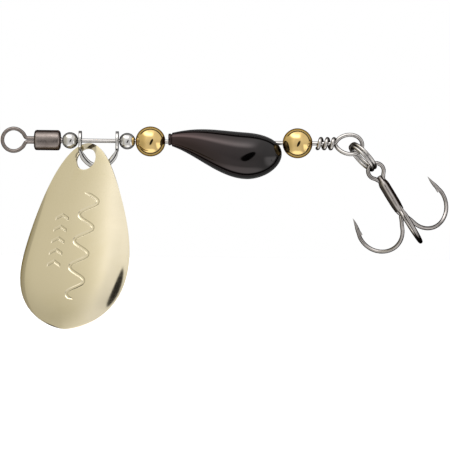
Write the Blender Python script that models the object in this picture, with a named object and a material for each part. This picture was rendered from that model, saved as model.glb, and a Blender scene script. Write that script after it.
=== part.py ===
"""Inline spinner: a fishing lure threaded on one wire.

A free-turning swivel is built into the front. Behind it, on the shaft wire, sit a bead, a
folded clevis that carries the blade, a second bead, a ball, an off-centre body and another
ball. The wire ends in a wrapped loop with a split ring and a treble hook.

The shaft runs along +X from the swivel to the hook, +Z is up, and the origin is the centre of
the front ring that the line is tied to. Lengths are in metres.
"""

import math

import bmesh
import bpy
import numpy as np
from mathutils import Matrix, Vector

MM = 0.001

# Front ring: a wire loop with a twin shank that ends in a knob inside the barrel
RING_WIRE = 0.56 * MM
RING_OUTER = 3.95 * MM
RING_STRAND_GAP = 0.02 * MM
RING_LEAVE = math.radians(43)
RING_NECK = 0.7 * MM
RING_TO_BARREL = 1.1 * MM
RING_KNOB_DIAMETER = 1.9 * MM
RING_KNOB_LENGTH = 0.7 * MM

# Swivel barrel: a hollow shell crimped over both heads, with a short neck behind
BARREL_DIAMETER = 3.05 * MM
BARREL_LENGTH = 4.0 * MM
BARREL_WALL = 0.36 * MM
BARREL_CRIMP = 0.62 * MM
BARREL_MOUTH_LIP = 0.22 * MM
BARREL_NECK_DIAMETER = 0.96 * MM
BARREL_NECK_LENGTH = 0.13 * MM

# Shaft wire: a head in the barrel, the straight shaft, the loop and its wraps
WIRE = 0.6 * MM
SHAFT_HEAD_DIAMETER = 1.7 * MM
SHAFT_HEAD_LENGTH = 0.6 * MM
LOOP_LENGTH = 4.05 * MM
LOOP_HEIGHT = 1.6 * MM
LOOP_DROP = 0.14 * MM
LOOP_NECK_SHARPNESS = 0.3
WRAP_TURNS = 2.75
WRAP_PITCH = 0.98 * MM
WRAP_GAP = 0.13 * MM

# What is threaded on the shaft
RUNNING_FIT = 0.06 * MM
AXIAL_GAP = 0.07 * MM
BEAD_DIAMETER = 2.5 * MM
BALL_DIAMETER = 4.5 * MM
BALL_TO_BODY = 0.45 * MM
BODY_TO_BALL = 0.12 * MM
BALL_TO_WRAPS = 0.75 * MM

# Clevis: a strip with flat round ears, folded thick and round in its bow
CLEVIS_SPAN = 5.55 * MM
CLEVIS_DEPTH = 3.85 * MM
CLEVIS_STRIP = 0.95 * MM
CLEVIS_THICKNESS = 0.48 * MM
CLEVIS_BOW_THICKNESS = 0.85 * MM
CLEVIS_EAR = 3.0 * MM
CLEVIS_EAR_TOP = math.radians(14)
CLEVIS_SWING = math.radians(-2.7)

# Blade: a dished teardrop with a rim that curls back and a round hole
BLADE_LENGTH = 28.15 * MM
BLADE_WIDTH = 18.75 * MM
BLADE_THICKNESS = 0.4 * MM
BLADE_MIDDLE_SHARE = 0.62
BLADE_DISH = 1.1 * MM
BLADE_CURL = 1.3 * MM
BLADE_CURL_POWER = 6
BLADE_FLAT_TOP = 0.25
BLADE_FULLNESS = 4.72
BLADE_TAIL_POWER = 0.62
BLADE_HOLE = 3.4 * MM
BLADE_HOLE_FROM_TOP = 2.5 * MM
BLADE_HANG = Vector((-1.85, 0.36, -2.77)) * MM
BLADE_YAW = math.radians(30.2)
BLADE_LEAN = math.radians(14.5)
BLADE_ROLL = math.radians(1.6)

# Body: round sections whose centres sink below the shaft
BODY_LENGTH = 17.05 * MM
BODY_DIAMETER = 7.0 * MM
BODY_NOSE_DIAMETER = 1.76 * MM
BODY_NOSE_LIP = 0.45 * MM
BODY_NOSE_GROOVE = 0.08 * MM
BODY_TAIL_LENGTH = 5.57 * MM
BODY_NOSE_RISE = 0.34 * MM
BODY_SINK = 2.33 * MM
BODY_SINK_LENGTH = 12.3 * MM
BODY_TAIL_RISE = 0.34 * MM
BODY_SWELL_POWER = 1.16

# Split ring: two coils of one wire with a step between them
SPLIT_WIRE = 0.5 * MM
SPLIT_OUTER = 5.35 * MM
SPLIT_COIL_GAP = 0.03 * MM
SPLIT_STEP = math.radians(44)
SPLIT_END_GAP = math.radians(4)
SPLIT_START = math.radians(70)
SPLIT_DIRECTION = math.radians(-46.5)
SPLIT_TILT = math.radians(-10.5)
SPLIT_TO_LOOP = 0.2 * MM
SPLIT_FROM_LOOP_END = 1.72 * MM
SPLIT_TO_EYE = 0.48 * MM

# Treble hook: a double hook bent from one wire, a single hook and the braze round the shanks
HOOK_WIRE = 0.62 * MM
HOOK_EYE_OUTER = 3.0 * MM
HOOK_SHANK_GAP = 0.04 * MM
HOOK_LENGTH = 13.65 * MM
HOOK_BEND_RADIUS = 3.75 * MM
HOOK_SPREAD = 0.52 * MM
HOOK_LOWER_EXTRA = 0.5 * MM
HOOK_POINT_LENGTH = 3.1 * MM
HOOK_POINT_TAPER = 1.7 * MM
HOOK_POINT_LEAN = math.radians(2.5)
HOOK_FLARE_LENGTH = 1.6 * MM
HOOK_BARB_LENGTH = 1.4 * MM
HOOK_BARB_HEIGHT = 0.25 * MM
HOOK_BARB_WIDTH = 0.24 * MM
HOOK_BARB_FROM_POINT = 1.5 * MM
HOOK_EYE_LEAVE = math.radians(34)
BRAZE_START = 1.75 * MM
BRAZE_LENGTH = 5.2 * MM
BRAZE_SKIN = 0.13 * MM
BRAZE_FIT = 0.03 * MM
BRAZE_INTO_EYE = 0.5 * MM
BRAZE_END_ROUND = 0.35 * MM
BRAZE_END_SHRINK = 0.91
SHANK_END_ROOM = 0.1 * MM
HOOK_DIRECTION = math.radians(-57.75)
HOOK_TILT = math.radians(8)

WIRE_SIDES = 10
ROUND_SIDES = 28


def smooth_step(t):
    """0 to 1 with level ends."""
    t = min(max(t, 0.0), 1.0)
    return t * t * (3 - 2 * t)


def remove_all():
    """Empty the scene."""
    for old in list(bpy.data.objects):
        bpy.data.objects.remove(old, do_unlink=True)


def make_material(name, colour, roughness, metallic):
    """A Principled material."""
    material = bpy.data.materials.new(name)
    material.use_nodes = True
    shader = material.node_tree.nodes["Principled BSDF"]
    shader.inputs["Base Color"].default_value = (*colour, 1.0)
    shader.inputs["Roughness"].default_value = roughness
    shader.inputs["Metallic"].default_value = metallic
    material.diffuse_color = (*colour, 1.0)
    return material


def add_object(name, bm, material, parent=None, location=(0, 0, 0), smooth_angle=35):
    """Turn a bmesh into a named object, smooth except at sharp edges."""
    bmesh.ops.remove_doubles(bm, verts=bm.verts, dist=1e-7)
    bmesh.ops.recalc_face_normals(bm, faces=bm.faces)
    mesh = bpy.data.meshes.new(name)
    bm.to_mesh(mesh)
    bm.free()
    mesh.shade_smooth()
    mesh.set_sharp_from_angle(angle=math.radians(smooth_angle))
    mesh.materials.append(material)
    made = bpy.data.objects.new(name, mesh)
    bpy.context.scene.collection.objects.link(made)
    made.parent = parent
    made.location = location
    return made


def add_empty(name, parent=None, location=(0, 0, 0), rotation=(0, 0, 0)):
    """A joint's centre."""
    made = bpy.data.objects.new(name, None)
    bpy.context.scene.collection.objects.link(made)
    made.parent = parent
    made.location = location
    made.rotation_euler = rotation
    return made


def add_boolean(target, cutter, operation="DIFFERENCE"):
    """Cut or join target with a hidden object."""
    cutter.hide_render = True
    cutter.display_type = "WIRE"
    modifier = target.modifiers.new(cutter.name, "BOOLEAN")
    modifier.operation = operation
    modifier.solver = "EXACT"
    modifier.object = cutter


def add_cutter(name, diameter, length, material, parent, matrix):
    """A hidden cylinder along its own Z, placed by matrix."""
    bm = bmesh.new()
    bmesh.ops.create_cone(
        bm,
        cap_ends=True,
        segments=ROUND_SIDES,
        radius1=diameter / 2,
        radius2=diameter / 2,
        depth=length,
    )
    cutter = add_object(name, bm, material, parent)
    cutter.matrix_local = matrix
    return cutter


def along_x(centre=(0, 0, 0)):
    """Matrix that lays a cylinder's Z along X."""
    return Matrix.Translation(Vector(centre)) @ Matrix.Rotation(math.pi / 2, 4, "Y")


def turned(profile, sides=ROUND_SIDES):
    """Spin a closed (x, radius) outline round the X axis."""
    bm = bmesh.new()
    verts = [bm.verts.new((x, 0, radius)) for x, radius in profile]
    edges = [bm.edges.new((verts[i - 1], verts[i])) for i in range(len(verts))]
    bmesh.ops.spin(
        bm,
        geom=verts + edges,
        axis=(1, 0, 0),
        cent=(0, 0, 0),
        angle=2 * math.pi,
        steps=sides,
        use_merge=True,
    )
    return bm


def swept(points, radii, sides=WIRE_SIDES, start_normal=(0, 1, 0)):
    """A round tube along points, with its own radius at each, closed by flat caps."""
    bm = bmesh.new()
    points = [Vector(p) for p in points]
    normal = Vector(start_normal)
    rings = []
    for i, point in enumerate(points):
        ahead = points[min(i + 1, len(points) - 1)]
        behind = points[max(i - 1, 0)]
        tangent = (ahead - behind).normalized()
        normal = (normal - tangent * normal.dot(tangent)).normalized()
        side = tangent.cross(normal)
        ring = []
        for k in range(sides):
            turn = 2 * math.pi * k / sides
            spoke = normal * math.cos(turn) + side * math.sin(turn)
            ring.append(bm.verts.new(point + spoke * radii[i]))
        rings.append(ring)
    for first, second in zip(rings, rings[1:]):
        for k in range(sides):
            j = (k + 1) % sides
            bm.faces.new((first[k], first[j], second[j], second[k]))
    bm.faces.new(reversed(rings[0]))
    bm.faces.new(rings[-1])
    return bm


def line_points(start, end, steps):
    """Evenly spaced points from start up to, but not at, end."""
    start, end = Vector(start), Vector(end)
    return [start.lerp(end, i / steps) for i in range(steps)]


def upset_end(x, length, wire_radius, head_radius):
    """(x, radius) pairs of a rounded head at the end of a wire, from its end inwards."""
    round_off = 0.25
    return [
        (x, head_radius * 0.6),
        (x + length * round_off * 0.4, head_radius * 0.9),
        (x + length * round_off, head_radius),
        (x + length * (1 - round_off), head_radius),
        (x + length * 0.95, head_radius * 0.85),
        (x + length, wire_radius),
    ]


def bored_half(diameter, bore):
    """Half the length of a ball along its bore."""
    return math.sqrt((diameter / 2) ** 2 - (bore / 2) ** 2)


def bored_ball(diameter, bore, sides, rings):
    """A ball with a through bore along X."""
    rim = math.asin(bore / diameter)
    outline = []
    for i in range(rings + 1):
        turn = rim + (math.pi - 2 * rim) * i / rings
        outline.append((diameter / 2 * math.cos(turn), diameter / 2 * math.sin(turn)))
    return turned(outline, sides)


# Places along the shaft, each from the piece before it
bore = WIRE + 2 * RUNNING_FIT
bead_half = bored_half(BEAD_DIAMETER, bore)
ball_half = bored_half(BALL_DIAMETER, bore)
barrel_start = RING_OUTER / 2 + RING_TO_BARREL
barrel_end = barrel_start + BARREL_LENGTH
neck_end = barrel_end + BARREL_NECK_LENGTH
shaft_start = barrel_end - BARREL_CRIMP - SHAFT_HEAD_LENGTH
front_bead_x = neck_end + AXIAL_GAP + bead_half
front_ear_x = front_bead_x + bead_half + AXIAL_GAP + CLEVIS_THICKNESS / 2
rear_ear_x = front_ear_x + CLEVIS_SPAN
clevis_x = (front_ear_x + rear_ear_x) / 2
rear_bead_x = rear_ear_x + CLEVIS_THICKNESS / 2 + AXIAL_GAP + bead_half
front_ball_x = rear_bead_x + bead_half + AXIAL_GAP + ball_half
body_x = front_ball_x + ball_half + BALL_TO_BODY
rear_ball_x = body_x + BODY_LENGTH + BODY_TO_BALL + ball_half
wraps_x = rear_ball_x + ball_half + BALL_TO_WRAPS
loop_x = wraps_x + WRAP_TURNS * WRAP_PITCH


def front_ring(material):
    """Ring, twin shank and knob, bent and headed from one wire."""
    radius = RING_WIRE / 2
    offset = radius + RING_STRAND_GAP / 2
    mean = RING_OUTER / 2 - radius
    knob_x = barrel_start + BARREL_CRIMP + AXIAL_GAP
    leave = Vector((mean * math.cos(RING_LEAVE), mean * math.sin(RING_LEAVE)))
    meet_x = leave.x + RING_NECK
    outline = [(knob_x + RING_KNOB_LENGTH / 2, offset)]
    outline += [(x, offset) for x in np.linspace(knob_x, meet_x, 5)]
    neck_steps = 6
    for i in range(1, neck_steps):
        t = i / neck_steps
        x = meet_x + (leave.x - meet_x) * t
        outline.append((x, offset + (leave.y - offset) * smooth_step(t)))
    half = list(outline)
    arc_steps = 24
    for i in range(arc_steps + 1):
        turn = RING_LEAVE + (2 * math.pi - 2 * RING_LEAVE) * i / arc_steps
        outline.append((mean * math.cos(turn), mean * math.sin(turn)))
    outline += [(x, -z) for x, z in reversed(half)]
    points = [(x, 0, z) for x, z in outline]
    ring = add_object("line_ring", swept(points, [radius] * len(points)), material)
    head = upset_end(0, RING_KNOB_LENGTH, RING_WIRE * 0.6, RING_KNOB_DIAMETER / 2)
    profile = [(knob_x + RING_KNOB_LENGTH, 0)]
    profile += [(knob_x + RING_KNOB_LENGTH - x, r) for x, r in head]
    profile.append((knob_x, 0))
    knob = add_object("line_ring_knob", turned(profile[::-1]), material)
    add_boolean(ring, knob, "UNION")
    return ring


def swivel_barrel(material, parent):
    """Hollow barrel with crimped ends, turned as one shell."""
    outer = BARREL_DIAMETER / 2
    inner = outer - BARREL_WALL
    mouth = RING_WIRE + RING_STRAND_GAP / 2 + RUNNING_FIT
    shoulder = BARREL_CRIMP * 0.75
    inside_front = barrel_start + BARREL_CRIMP * 0.6
    inside_rear = barrel_end - BARREL_CRIMP * 0.6
    profile = [
        (barrel_start, mouth),
        (barrel_start, mouth + BARREL_MOUTH_LIP),
        (barrel_start + shoulder * 0.35, outer * 0.84),
        (barrel_start + shoulder, outer),
        (barrel_end - shoulder, outer),
        (barrel_end - shoulder * 0.35, outer * 0.86),
        (barrel_end, outer * 0.6),
        (barrel_end, BARREL_NECK_DIAMETER / 2),
        (neck_end, BARREL_NECK_DIAMETER / 2),
        (neck_end, bore / 2),
        (inside_rear, bore / 2),
        (inside_rear - BARREL_WALL / 2, inner),
        (inside_front + BARREL_WALL / 2, inner),
        (inside_front, mouth),
    ]
    return add_object("swivel_barrel", turned(profile[::-1], 32), material, parent)


def loop_point(turn):
    """Point on the rear loop; turn runs from 0 to 2 pi."""
    sweep = LOOP_LENGTH * (1 - math.cos(turn)) / 2
    rise = math.sin(turn) * math.sin(turn / 2) ** LOOP_NECK_SHARPNESS
    height = LOOP_HEIGHT * rise - LOOP_DROP * math.sin(turn / 2) ** 2
    behind = (WIRE + WRAP_GAP) * smooth_step((turn - 1.35 * math.pi) / (0.65 * math.pi))
    return Vector((loop_x + sweep, behind, height))


def shaft_wire(material, parent):
    """Head, shaft, loop and wraps, all one wire."""
    radius = WIRE / 2
    head = upset_end(shaft_start, SHAFT_HEAD_LENGTH, radius, SHAFT_HEAD_DIAMETER / 2)
    points = [Vector((x, 0, 0)) for x, _ in head]
    radii = [r for _, r in head]
    bend_room = 0.9 * WIRE
    shaft_end = Vector((loop_x - bend_room, 0, 0))
    points += line_points((head[-1][0] + radius, 0, 0), shaft_end, 4) + [shaft_end]
    loop_steps = 40
    start_turn = 0.2
    for i in range(loop_steps):
        turn = start_turn + (2 * math.pi - 2 * start_turn) * i / (loop_steps - 1)
        points.append(loop_point(turn))
    wrap_radius = WIRE + WRAP_GAP
    wrap_steps = 14
    total = round(WRAP_TURNS * wrap_steps)
    for i in range(1, total + 1):
        turn = -math.pi / 2 + 2 * math.pi * (i / wrap_steps + 0.05)
        x = loop_x - WRAP_PITCH * i / wrap_steps
        points.append(
            Vector((x, -wrap_radius * math.sin(turn), wrap_radius * math.cos(turn)))
        )
    radii += [radius] * (len(points) - len(radii))
    bm = swept(points, radii)
    return add_object("shaft_wire", bm, material, parent, smooth_angle=50)


def clevis_section(centre, down_x, down_z, half_width, half_thickness, squareness):
    """One rounded section of the clevis, square to the way that its strip runs."""
    across = Vector((-down_z, 0, down_x))
    ring = []
    sides = 12
    for k in range(sides):
        turn = 2 * math.pi * (k + 0.5) / sides
        wide = math.copysign(abs(math.cos(turn)) ** (2 / squareness), math.cos(turn))
        thick = math.copysign(abs(math.sin(turn)) ** (2 / squareness), math.sin(turn))
        ring.append(centre + Vector((0, half_width * wide, 0)) + across * half_thickness * thick)
    return ring


def clevis(material, parent):
    """Folded strip: two round ears joined by a thick U, bored for the shaft."""
    half_span = CLEVIS_SPAN / 2
    ear = CLEVIS_EAR / 2
    strip = CLEVIS_STRIP / 2
    left = []
    ear_steps = 7
    last = math.pi - math.asin(strip / ear)
    for i in range(ear_steps + 1):
        turn = CLEVIS_EAR_TOP + (last - CLEVIS_EAR_TOP) * i / ear_steps
        left.append((-half_span, -ear * math.cos(turn), ear * math.sin(turn), 0.0))
    bow_steps = 20
    bow = []
    start = math.asin(min(1.0, left[-1][1] / CLEVIS_DEPTH))
    for i in range(1, bow_steps):
        turn = start + (math.pi - 2 * start) * i / bow_steps
        x = -half_span * math.cos(turn) / math.cos(start)
        folded = smooth_step(3 * min(i, bow_steps - i) / bow_steps)
        bow.append((x, CLEVIS_DEPTH * math.sin(turn), strip, folded))
    right = [(-x, down, half_width, folded) for x, down, half_width, folded in reversed(left)]
    rows = left + bow + right
    bm = bmesh.new()
    rings = []
    for i, (x, down, half_width, folded) in enumerate(rows):
        ahead = rows[min(i + 1, len(rows) - 1)]
        behind = rows[max(i - 1, 0)]
        way = Vector((ahead[0] - behind[0], 0, behind[1] - ahead[1])).normalized()
        thickness = CLEVIS_THICKNESS + (CLEVIS_BOW_THICKNESS - CLEVIS_THICKNESS) * folded
        squareness = 6 - 3 * folded
        section = clevis_section(
            Vector((x, 0, -down)), way.x, way.z, half_width, thickness / 2, squareness
        )
        rings.append([bm.verts.new(point) for point in section])
    for first, second in zip(rings, rings[1:]):
        for k in range(len(first)):
            j = (k + 1) % len(first)
            bm.faces.new((first[k], first[j], second[j], second[k]))
    bm.faces.new(rings[0])
    bm.faces.new(rings[-1])
    made = add_object("clevis", bm, material, parent)
    cutter = add_cutter("clevis_bore", bore, CLEVIS_SPAN * 1.5, material, parent, along_x())
    add_boolean(made, cutter)
    return made


def blade_fullness(t):
    """Outline's half width, before it is brought to size, at a share of the length."""
    return math.sqrt(t) * (1 - t**BLADE_FULLNESS) ** BLADE_TAIL_POWER


def blade_depth(reach, down):
    """How far the surface lies back, from the way out to the edge and the way down."""
    full = BLADE_DISH * reach**2 + BLADE_CURL * reach**BLADE_CURL_POWER
    belly = smooth_step(down / (BLADE_MIDDLE_SHARE * BLADE_LENGTH))
    return full * (BLADE_FLAT_TOP + (1 - BLADE_FLAT_TOP) * belly)


def blade_depth_at(down):
    """Depth on the blade's centre line, above its middle."""
    middle = BLADE_MIDDLE_SHARE * BLADE_LENGTH
    return blade_depth((middle - down) / middle, down)


def blade(material, parent):
    """Dished teardrop shell; its own origin is the hole's centre on the outer surface."""
    middle = BLADE_MIDDLE_SHARE * BLADE_LENGTH
    widest = max(blade_fullness(i / 200) for i in range(201))
    outline = []
    half_steps = 26
    for i in range(half_steps + 1):
        t = (1 - math.cos(math.pi * i / half_steps)) / 2
        outline.append((BLADE_WIDTH / 2 * blade_fullness(t) / widest, t * BLADE_LENGTH))
    outline += [(-w, v) for w, v in reversed(outline[1:-1])]
    rings = 11
    hole_depth = blade_depth_at(BLADE_HOLE_FROM_TOP)
    bm = bmesh.new()
    centre = bm.verts.new((0, -hole_depth, BLADE_HOLE_FROM_TOP - middle))
    previous = None
    for i in range(1, rings + 1):
        reach = (i / rings) ** 0.75
        row = []
        for w, v in outline:
            across = w * reach
            down = middle + (v - middle) * reach
            back = blade_depth(reach, down) - hole_depth
            row.append(bm.verts.new((across, back, BLADE_HOLE_FROM_TOP - down)))
        for k in range(len(row)):
            j = (k + 1) % len(row)
            if previous is None:
                bm.faces.new((centre, row[k], row[j]))
            else:
                bm.faces.new((previous[k], row[k], row[j], previous[j]))
        previous = row
    made = add_object("blade", bm, material, parent, smooth_angle=60)
    solid = made.modifiers.new("thickness", "SOLIDIFY")
    solid.thickness = BLADE_THICKNESS
    solid.offset = 0
    solid.use_even_offset = True
    near = BLADE_HOLE / 2
    rise = blade_depth_at(BLADE_HOLE_FROM_TOP - near) - blade_depth_at(BLADE_HOLE_FROM_TOP + near)
    slope = math.atan(rise / BLADE_HOLE)
    turn = Matrix.Rotation(math.pi / 2 - slope, 4, "X")
    cutter = add_cutter(
        "blade_hole", BLADE_HOLE, BLADE_THICKNESS * 8, material, parent, turn
    )
    add_boolean(made, cutter)
    return made


def body_radius(x):
    """Section radius at a distance from the nose."""
    full = BODY_DIAMETER / 2
    nose = BODY_NOSE_DIAMETER / 2
    swell_end = BODY_LENGTH - BODY_TAIL_LENGTH
    if x > swell_end:
        return full * math.sqrt(max(0.0, 1 - ((x - swell_end) / BODY_TAIL_LENGTH) ** 2))
    rise = math.sin(math.pi / 2 * x / swell_end) ** BODY_SWELL_POWER
    return nose + (full - nose) * rise


def body_centre(x):
    """Height of a section's centre over the shaft at a distance from the nose."""
    sink = math.sin(math.pi / 2 * min(1.0, x / BODY_SINK_LENGTH)) ** 2
    past = max(0.0, x - BODY_SINK_LENGTH) / (BODY_LENGTH - BODY_SINK_LENGTH)
    return BODY_NOSE_RISE - BODY_SINK * sink + BODY_TAIL_RISE * past**2


def weight_body(material, parent):
    """Round sections lofted along the shaft, with a lipped nose and a straight bore."""
    nose = BODY_NOSE_DIAMETER / 2
    sections = [
        (0.0, nose * 0.9, body_centre(0)),
        (BODY_NOSE_LIP * 0.15, nose, body_centre(0)),
        (BODY_NOSE_LIP * 0.8, nose, body_centre(0)),
        (BODY_NOSE_LIP, nose - BODY_NOSE_GROOVE, body_centre(0)),
    ]
    stations = 24
    for i in range(stations):
        turn = math.pi * (i + 0.6) / stations
        t = (1 - math.cos(turn)) / 2
        x = BODY_NOSE_LIP * 1.3 + (BODY_LENGTH - BODY_NOSE_LIP * 1.3) * t
        sections.append((x, body_radius(x), body_centre(x)))
    sides = 32
    bm = bmesh.new()
    rings = []
    for x, radius, height in sections:
        ring = []
        for k in range(sides):
            turn = 2 * math.pi * k / sides
            ring.append(
                bm.verts.new((x, radius * math.sin(turn), height + radius * math.cos(turn)))
            )
        rings.append(ring)
    for first, second in zip(rings, rings[1:]):
        for k in range(sides):
            j = (k + 1) % sides
            bm.faces.new((first[k], first[j], second[j], second[k]))
    bm.faces.new(rings[0])
    bm.faces.new(rings[-1])
    made = add_object("weight_body", bm, material, parent, smooth_angle=45)
    middle = BODY_LENGTH / 2
    cutter = add_cutter(
        "body_bore", bore, BODY_LENGTH * 1.5, material, parent, along_x((middle, 0, 0))
    )
    add_boolean(made, cutter)
    return made


def split_ring(material, parent):
    """Two coils of one wire; the origin is where it hangs, the ring reaches along +X."""
    radius = SPLIT_WIRE / 2
    mean = SPLIT_OUTER / 2 - radius
    layer = radius + SPLIT_COIL_GAP / 2
    first_end = 2 * math.pi - SPLIT_STEP - SPLIT_END_GAP
    last = 2 * first_end + SPLIT_STEP
    steps = 64
    points = []
    for i in range(steps + 1):
        turn = last * i / steps
        climb = smooth_step((turn - first_end) / SPLIT_STEP)
        across = layer * (2 * climb - 1)
        round_x = mean * math.cos(turn + SPLIT_START)
        round_y = mean * math.sin(turn + SPLIT_START)
        points.append(Vector((round_x, round_y, across)))
    bm = swept(points, [radius] * len(points), 8, (0, 0, 1))
    return add_object("split_ring", bm, material, parent)


def hook_side(outward, extra=0.0):
    """Route of one hook from its shank to its point.

    The shank runs along +X from the eye's centre, outward is the way that the hook opens
    and extra is how much further its bend lies. Returns the points from the end of the
    braze on, the radius at each and how far off the axis the shank runs.
    """
    wire = HOOK_WIRE / 2
    beside = (HOOK_WIRE + HOOK_SHANK_GAP) / 2
    eye_to_bend = HOOK_LENGTH - HOOK_EYE_OUTER / 2 - wire + extra
    centre_x = eye_to_bend - HOOK_BEND_RADIUS
    flare_start = BRAZE_START + BRAZE_LENGTH
    centre_r = HOOK_BEND_RADIUS + beside + HOOK_SPREAD
    route = []
    flare_steps = 4
    for i in range(1, flare_steps + 1):
        t = i / flare_steps
        x = flare_start + (centre_x - flare_start) * t
        route.append((x, beside + (centre_r - HOOK_BEND_RADIUS - beside) * smooth_step(t)))
    bend_steps = 14
    for i in range(1, bend_steps + 1):
        turn = math.pi * i / bend_steps
        route.append(
            (
                centre_x + HOOK_BEND_RADIUS * math.sin(turn),
                centre_r - HOOK_BEND_RADIUS * math.cos(turn),
            )
        )
    end_x, end_r = route[-1]
    radii = [wire] * len(route)
    point_steps = 6
    for i in range(1, point_steps + 1):
        along = HOOK_POINT_LENGTH * i / point_steps
        lean = math.tan(HOOK_POINT_LEAN) * along
        route.append((end_x - along, end_r - lean))
        left = (HOOK_POINT_LENGTH - along) / HOOK_POINT_TAPER
        radii.append(wire * max(0.06, min(1.0, left) ** 0.8))
    points = [Vector((x, 0, 0)) + Vector(outward) * r for x, r in route]
    return points, radii, beside


def barb(name, outward, extra, material, parent):
    """A thin wedge on the inside of the point, joined to its hook."""
    wire = HOOK_WIRE / 2
    points, _, _ = hook_side(outward, extra)
    tip = points[-1]
    inward = -Vector(outward)
    side = Vector((1, 0, 0)).cross(inward)

    def beside_point(back, depth):
        """A place back from the tip and inwards from the wire's centre line."""
        lean = math.tan(HOOK_POINT_LEAN) * back
        return tip + Vector((back, 0, 0)) + inward * (depth - lean)

    foot_back = HOOK_BARB_FROM_POINT + HOOK_BARB_LENGTH
    root = beside_point(HOOK_BARB_FROM_POINT, wire / 2)
    foot = beside_point(foot_back, wire / 2)
    peak = beside_point(foot_back - HOOK_BARB_HEIGHT / 3, wire + HOOK_BARB_HEIGHT)
    bm = bmesh.new()
    loops = []
    for sign in (-0.5, 0.5):
        shift = side * (HOOK_BARB_WIDTH * sign)
        loops.append([bm.verts.new(p + shift) for p in (root, foot, peak)])
    bm.faces.new(loops[0])
    bm.faces.new(reversed(loops[1]))
    for k in range(3):
        j = (k + 1) % 3
        bm.faces.new((loops[0][k], loops[1][k], loops[1][j], loops[0][j]))
    return add_object(name, bm, material, parent)


def hook_directions():
    """Ways that the two outer hooks and the third one open, 120 degrees apart."""
    third = Vector((0, -1, 0))
    turn = Matrix.Rotation(math.radians(120), 3, "X")
    return turn @ third, turn.transposed() @ third, third


def shank_places():
    """Centres of the three shanks across the hook's axis."""
    beside = (HOOK_WIRE + HOOK_SHANK_GAP) / 2
    low = beside / math.sqrt(3)
    return Vector((0, low, beside)), Vector((0, low, -beside)), Vector((0, -2 * low, 0))


def blended(points, offset, length):
    """Shift a hook's route onto its shank place, fading over its flare."""
    start_x = points[0].x
    moved = []
    for p in points:
        fade = 1 - smooth_step((p.x - start_x) / length) if p.x < start_x + length else 0.0
        moved.append(p + offset * fade)
    return moved


def double_hook(material, parent):
    """Point, bend, shank, eye, shank, bend and point from one wire."""
    upper, lower, _ = hook_directions()
    upper_place, lower_place, _ = shank_places()
    wire = HOOK_WIRE / 2
    mean = HOOK_EYE_OUTER / 2 - wire
    beside = upper_place.z
    shank_y = upper_place.y
    sides = []
    for outward, place, extra in (
        (upper, upper_place, 0.0),
        (lower, lower_place, HOOK_LOWER_EXTRA),
    ):
        points, radii, start = hook_side(outward, extra)
        shift = place - outward * start
        sides.append((blended(points, shift, HOOK_FLARE_LENGTH * 1.6), radii))
    shank_end = BRAZE_START + BRAZE_LENGTH
    shank_start = BRAZE_START - SHANK_END_ROOM
    eye = []
    eye_steps = 22
    for i in range(eye_steps + 1):
        turn = HOOK_EYE_LEAVE + (2 * math.pi - 2 * HOOK_EYE_LEAVE) * i / eye_steps
        eye.append(Vector((mean * math.cos(turn), 0, mean * math.sin(turn))))
    neck = []
    neck_steps = 5
    for i in range(1, neck_steps):
        t = i / neck_steps
        x = eye[0].x + (shank_start - eye[0].x) * (1 - t)
        z = eye[0].z + (beside - eye[0].z) * smooth_step(1 - t)
        neck.append((x, z, shank_y * smooth_step(1 - t)))
    upper_half = list(reversed(sides[0][0]))
    upper_radii = list(reversed(sides[0][1]))
    shank = [shank_end, (shank_end + shank_start) / 2, shank_start]
    into_eye = [Vector((x, shank_y, beside)) for x in shank]
    into_eye += [Vector((x, y, z)) for x, z, y in neck]
    out_of_eye = [Vector((p.x, p.y, -p.z)) for p in reversed(into_eye)]
    points = upper_half + into_eye + eye + out_of_eye + sides[1][0]
    plain = len(into_eye) + len(eye) + len(out_of_eye)
    radii = upper_radii + [wire] * plain + sides[1][1]
    made = add_object("double_hook", swept(points, radii, 8), material, parent, smooth_angle=50)
    upper_barb = barb("upper_barb", upper, 0.0, material, parent)
    lower_barb = barb("lower_barb", lower, HOOK_LOWER_EXTRA, material, parent)
    add_boolean(made, upper_barb, "UNION")
    add_boolean(made, lower_barb, "UNION")
    return made


def third_hook(material, parent):
    """Single hook laid in the groove between the other two shanks."""
    _, _, outward = hook_directions()
    _, _, place = shank_places()
    wire = HOOK_WIRE / 2
    points, radii, start = hook_side(outward)
    shift = place - outward * start
    ends = (BRAZE_START - SHANK_END_ROOM / 2, BRAZE_START + BRAZE_LENGTH)
    shank = [Vector((x, place.y, 0)) for x in ends]
    points = shank + blended(points, shift, HOOK_FLARE_LENGTH)
    radii = [wire * 0.9, wire] + radii
    bm = swept(points, radii, 8, (0, 0, 1))
    made = add_object("third_hook", bm, material, parent, smooth_angle=50)
    add_boolean(made, barb("third_barb", outward, 0.0, material, parent), "UNION")
    return made


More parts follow.
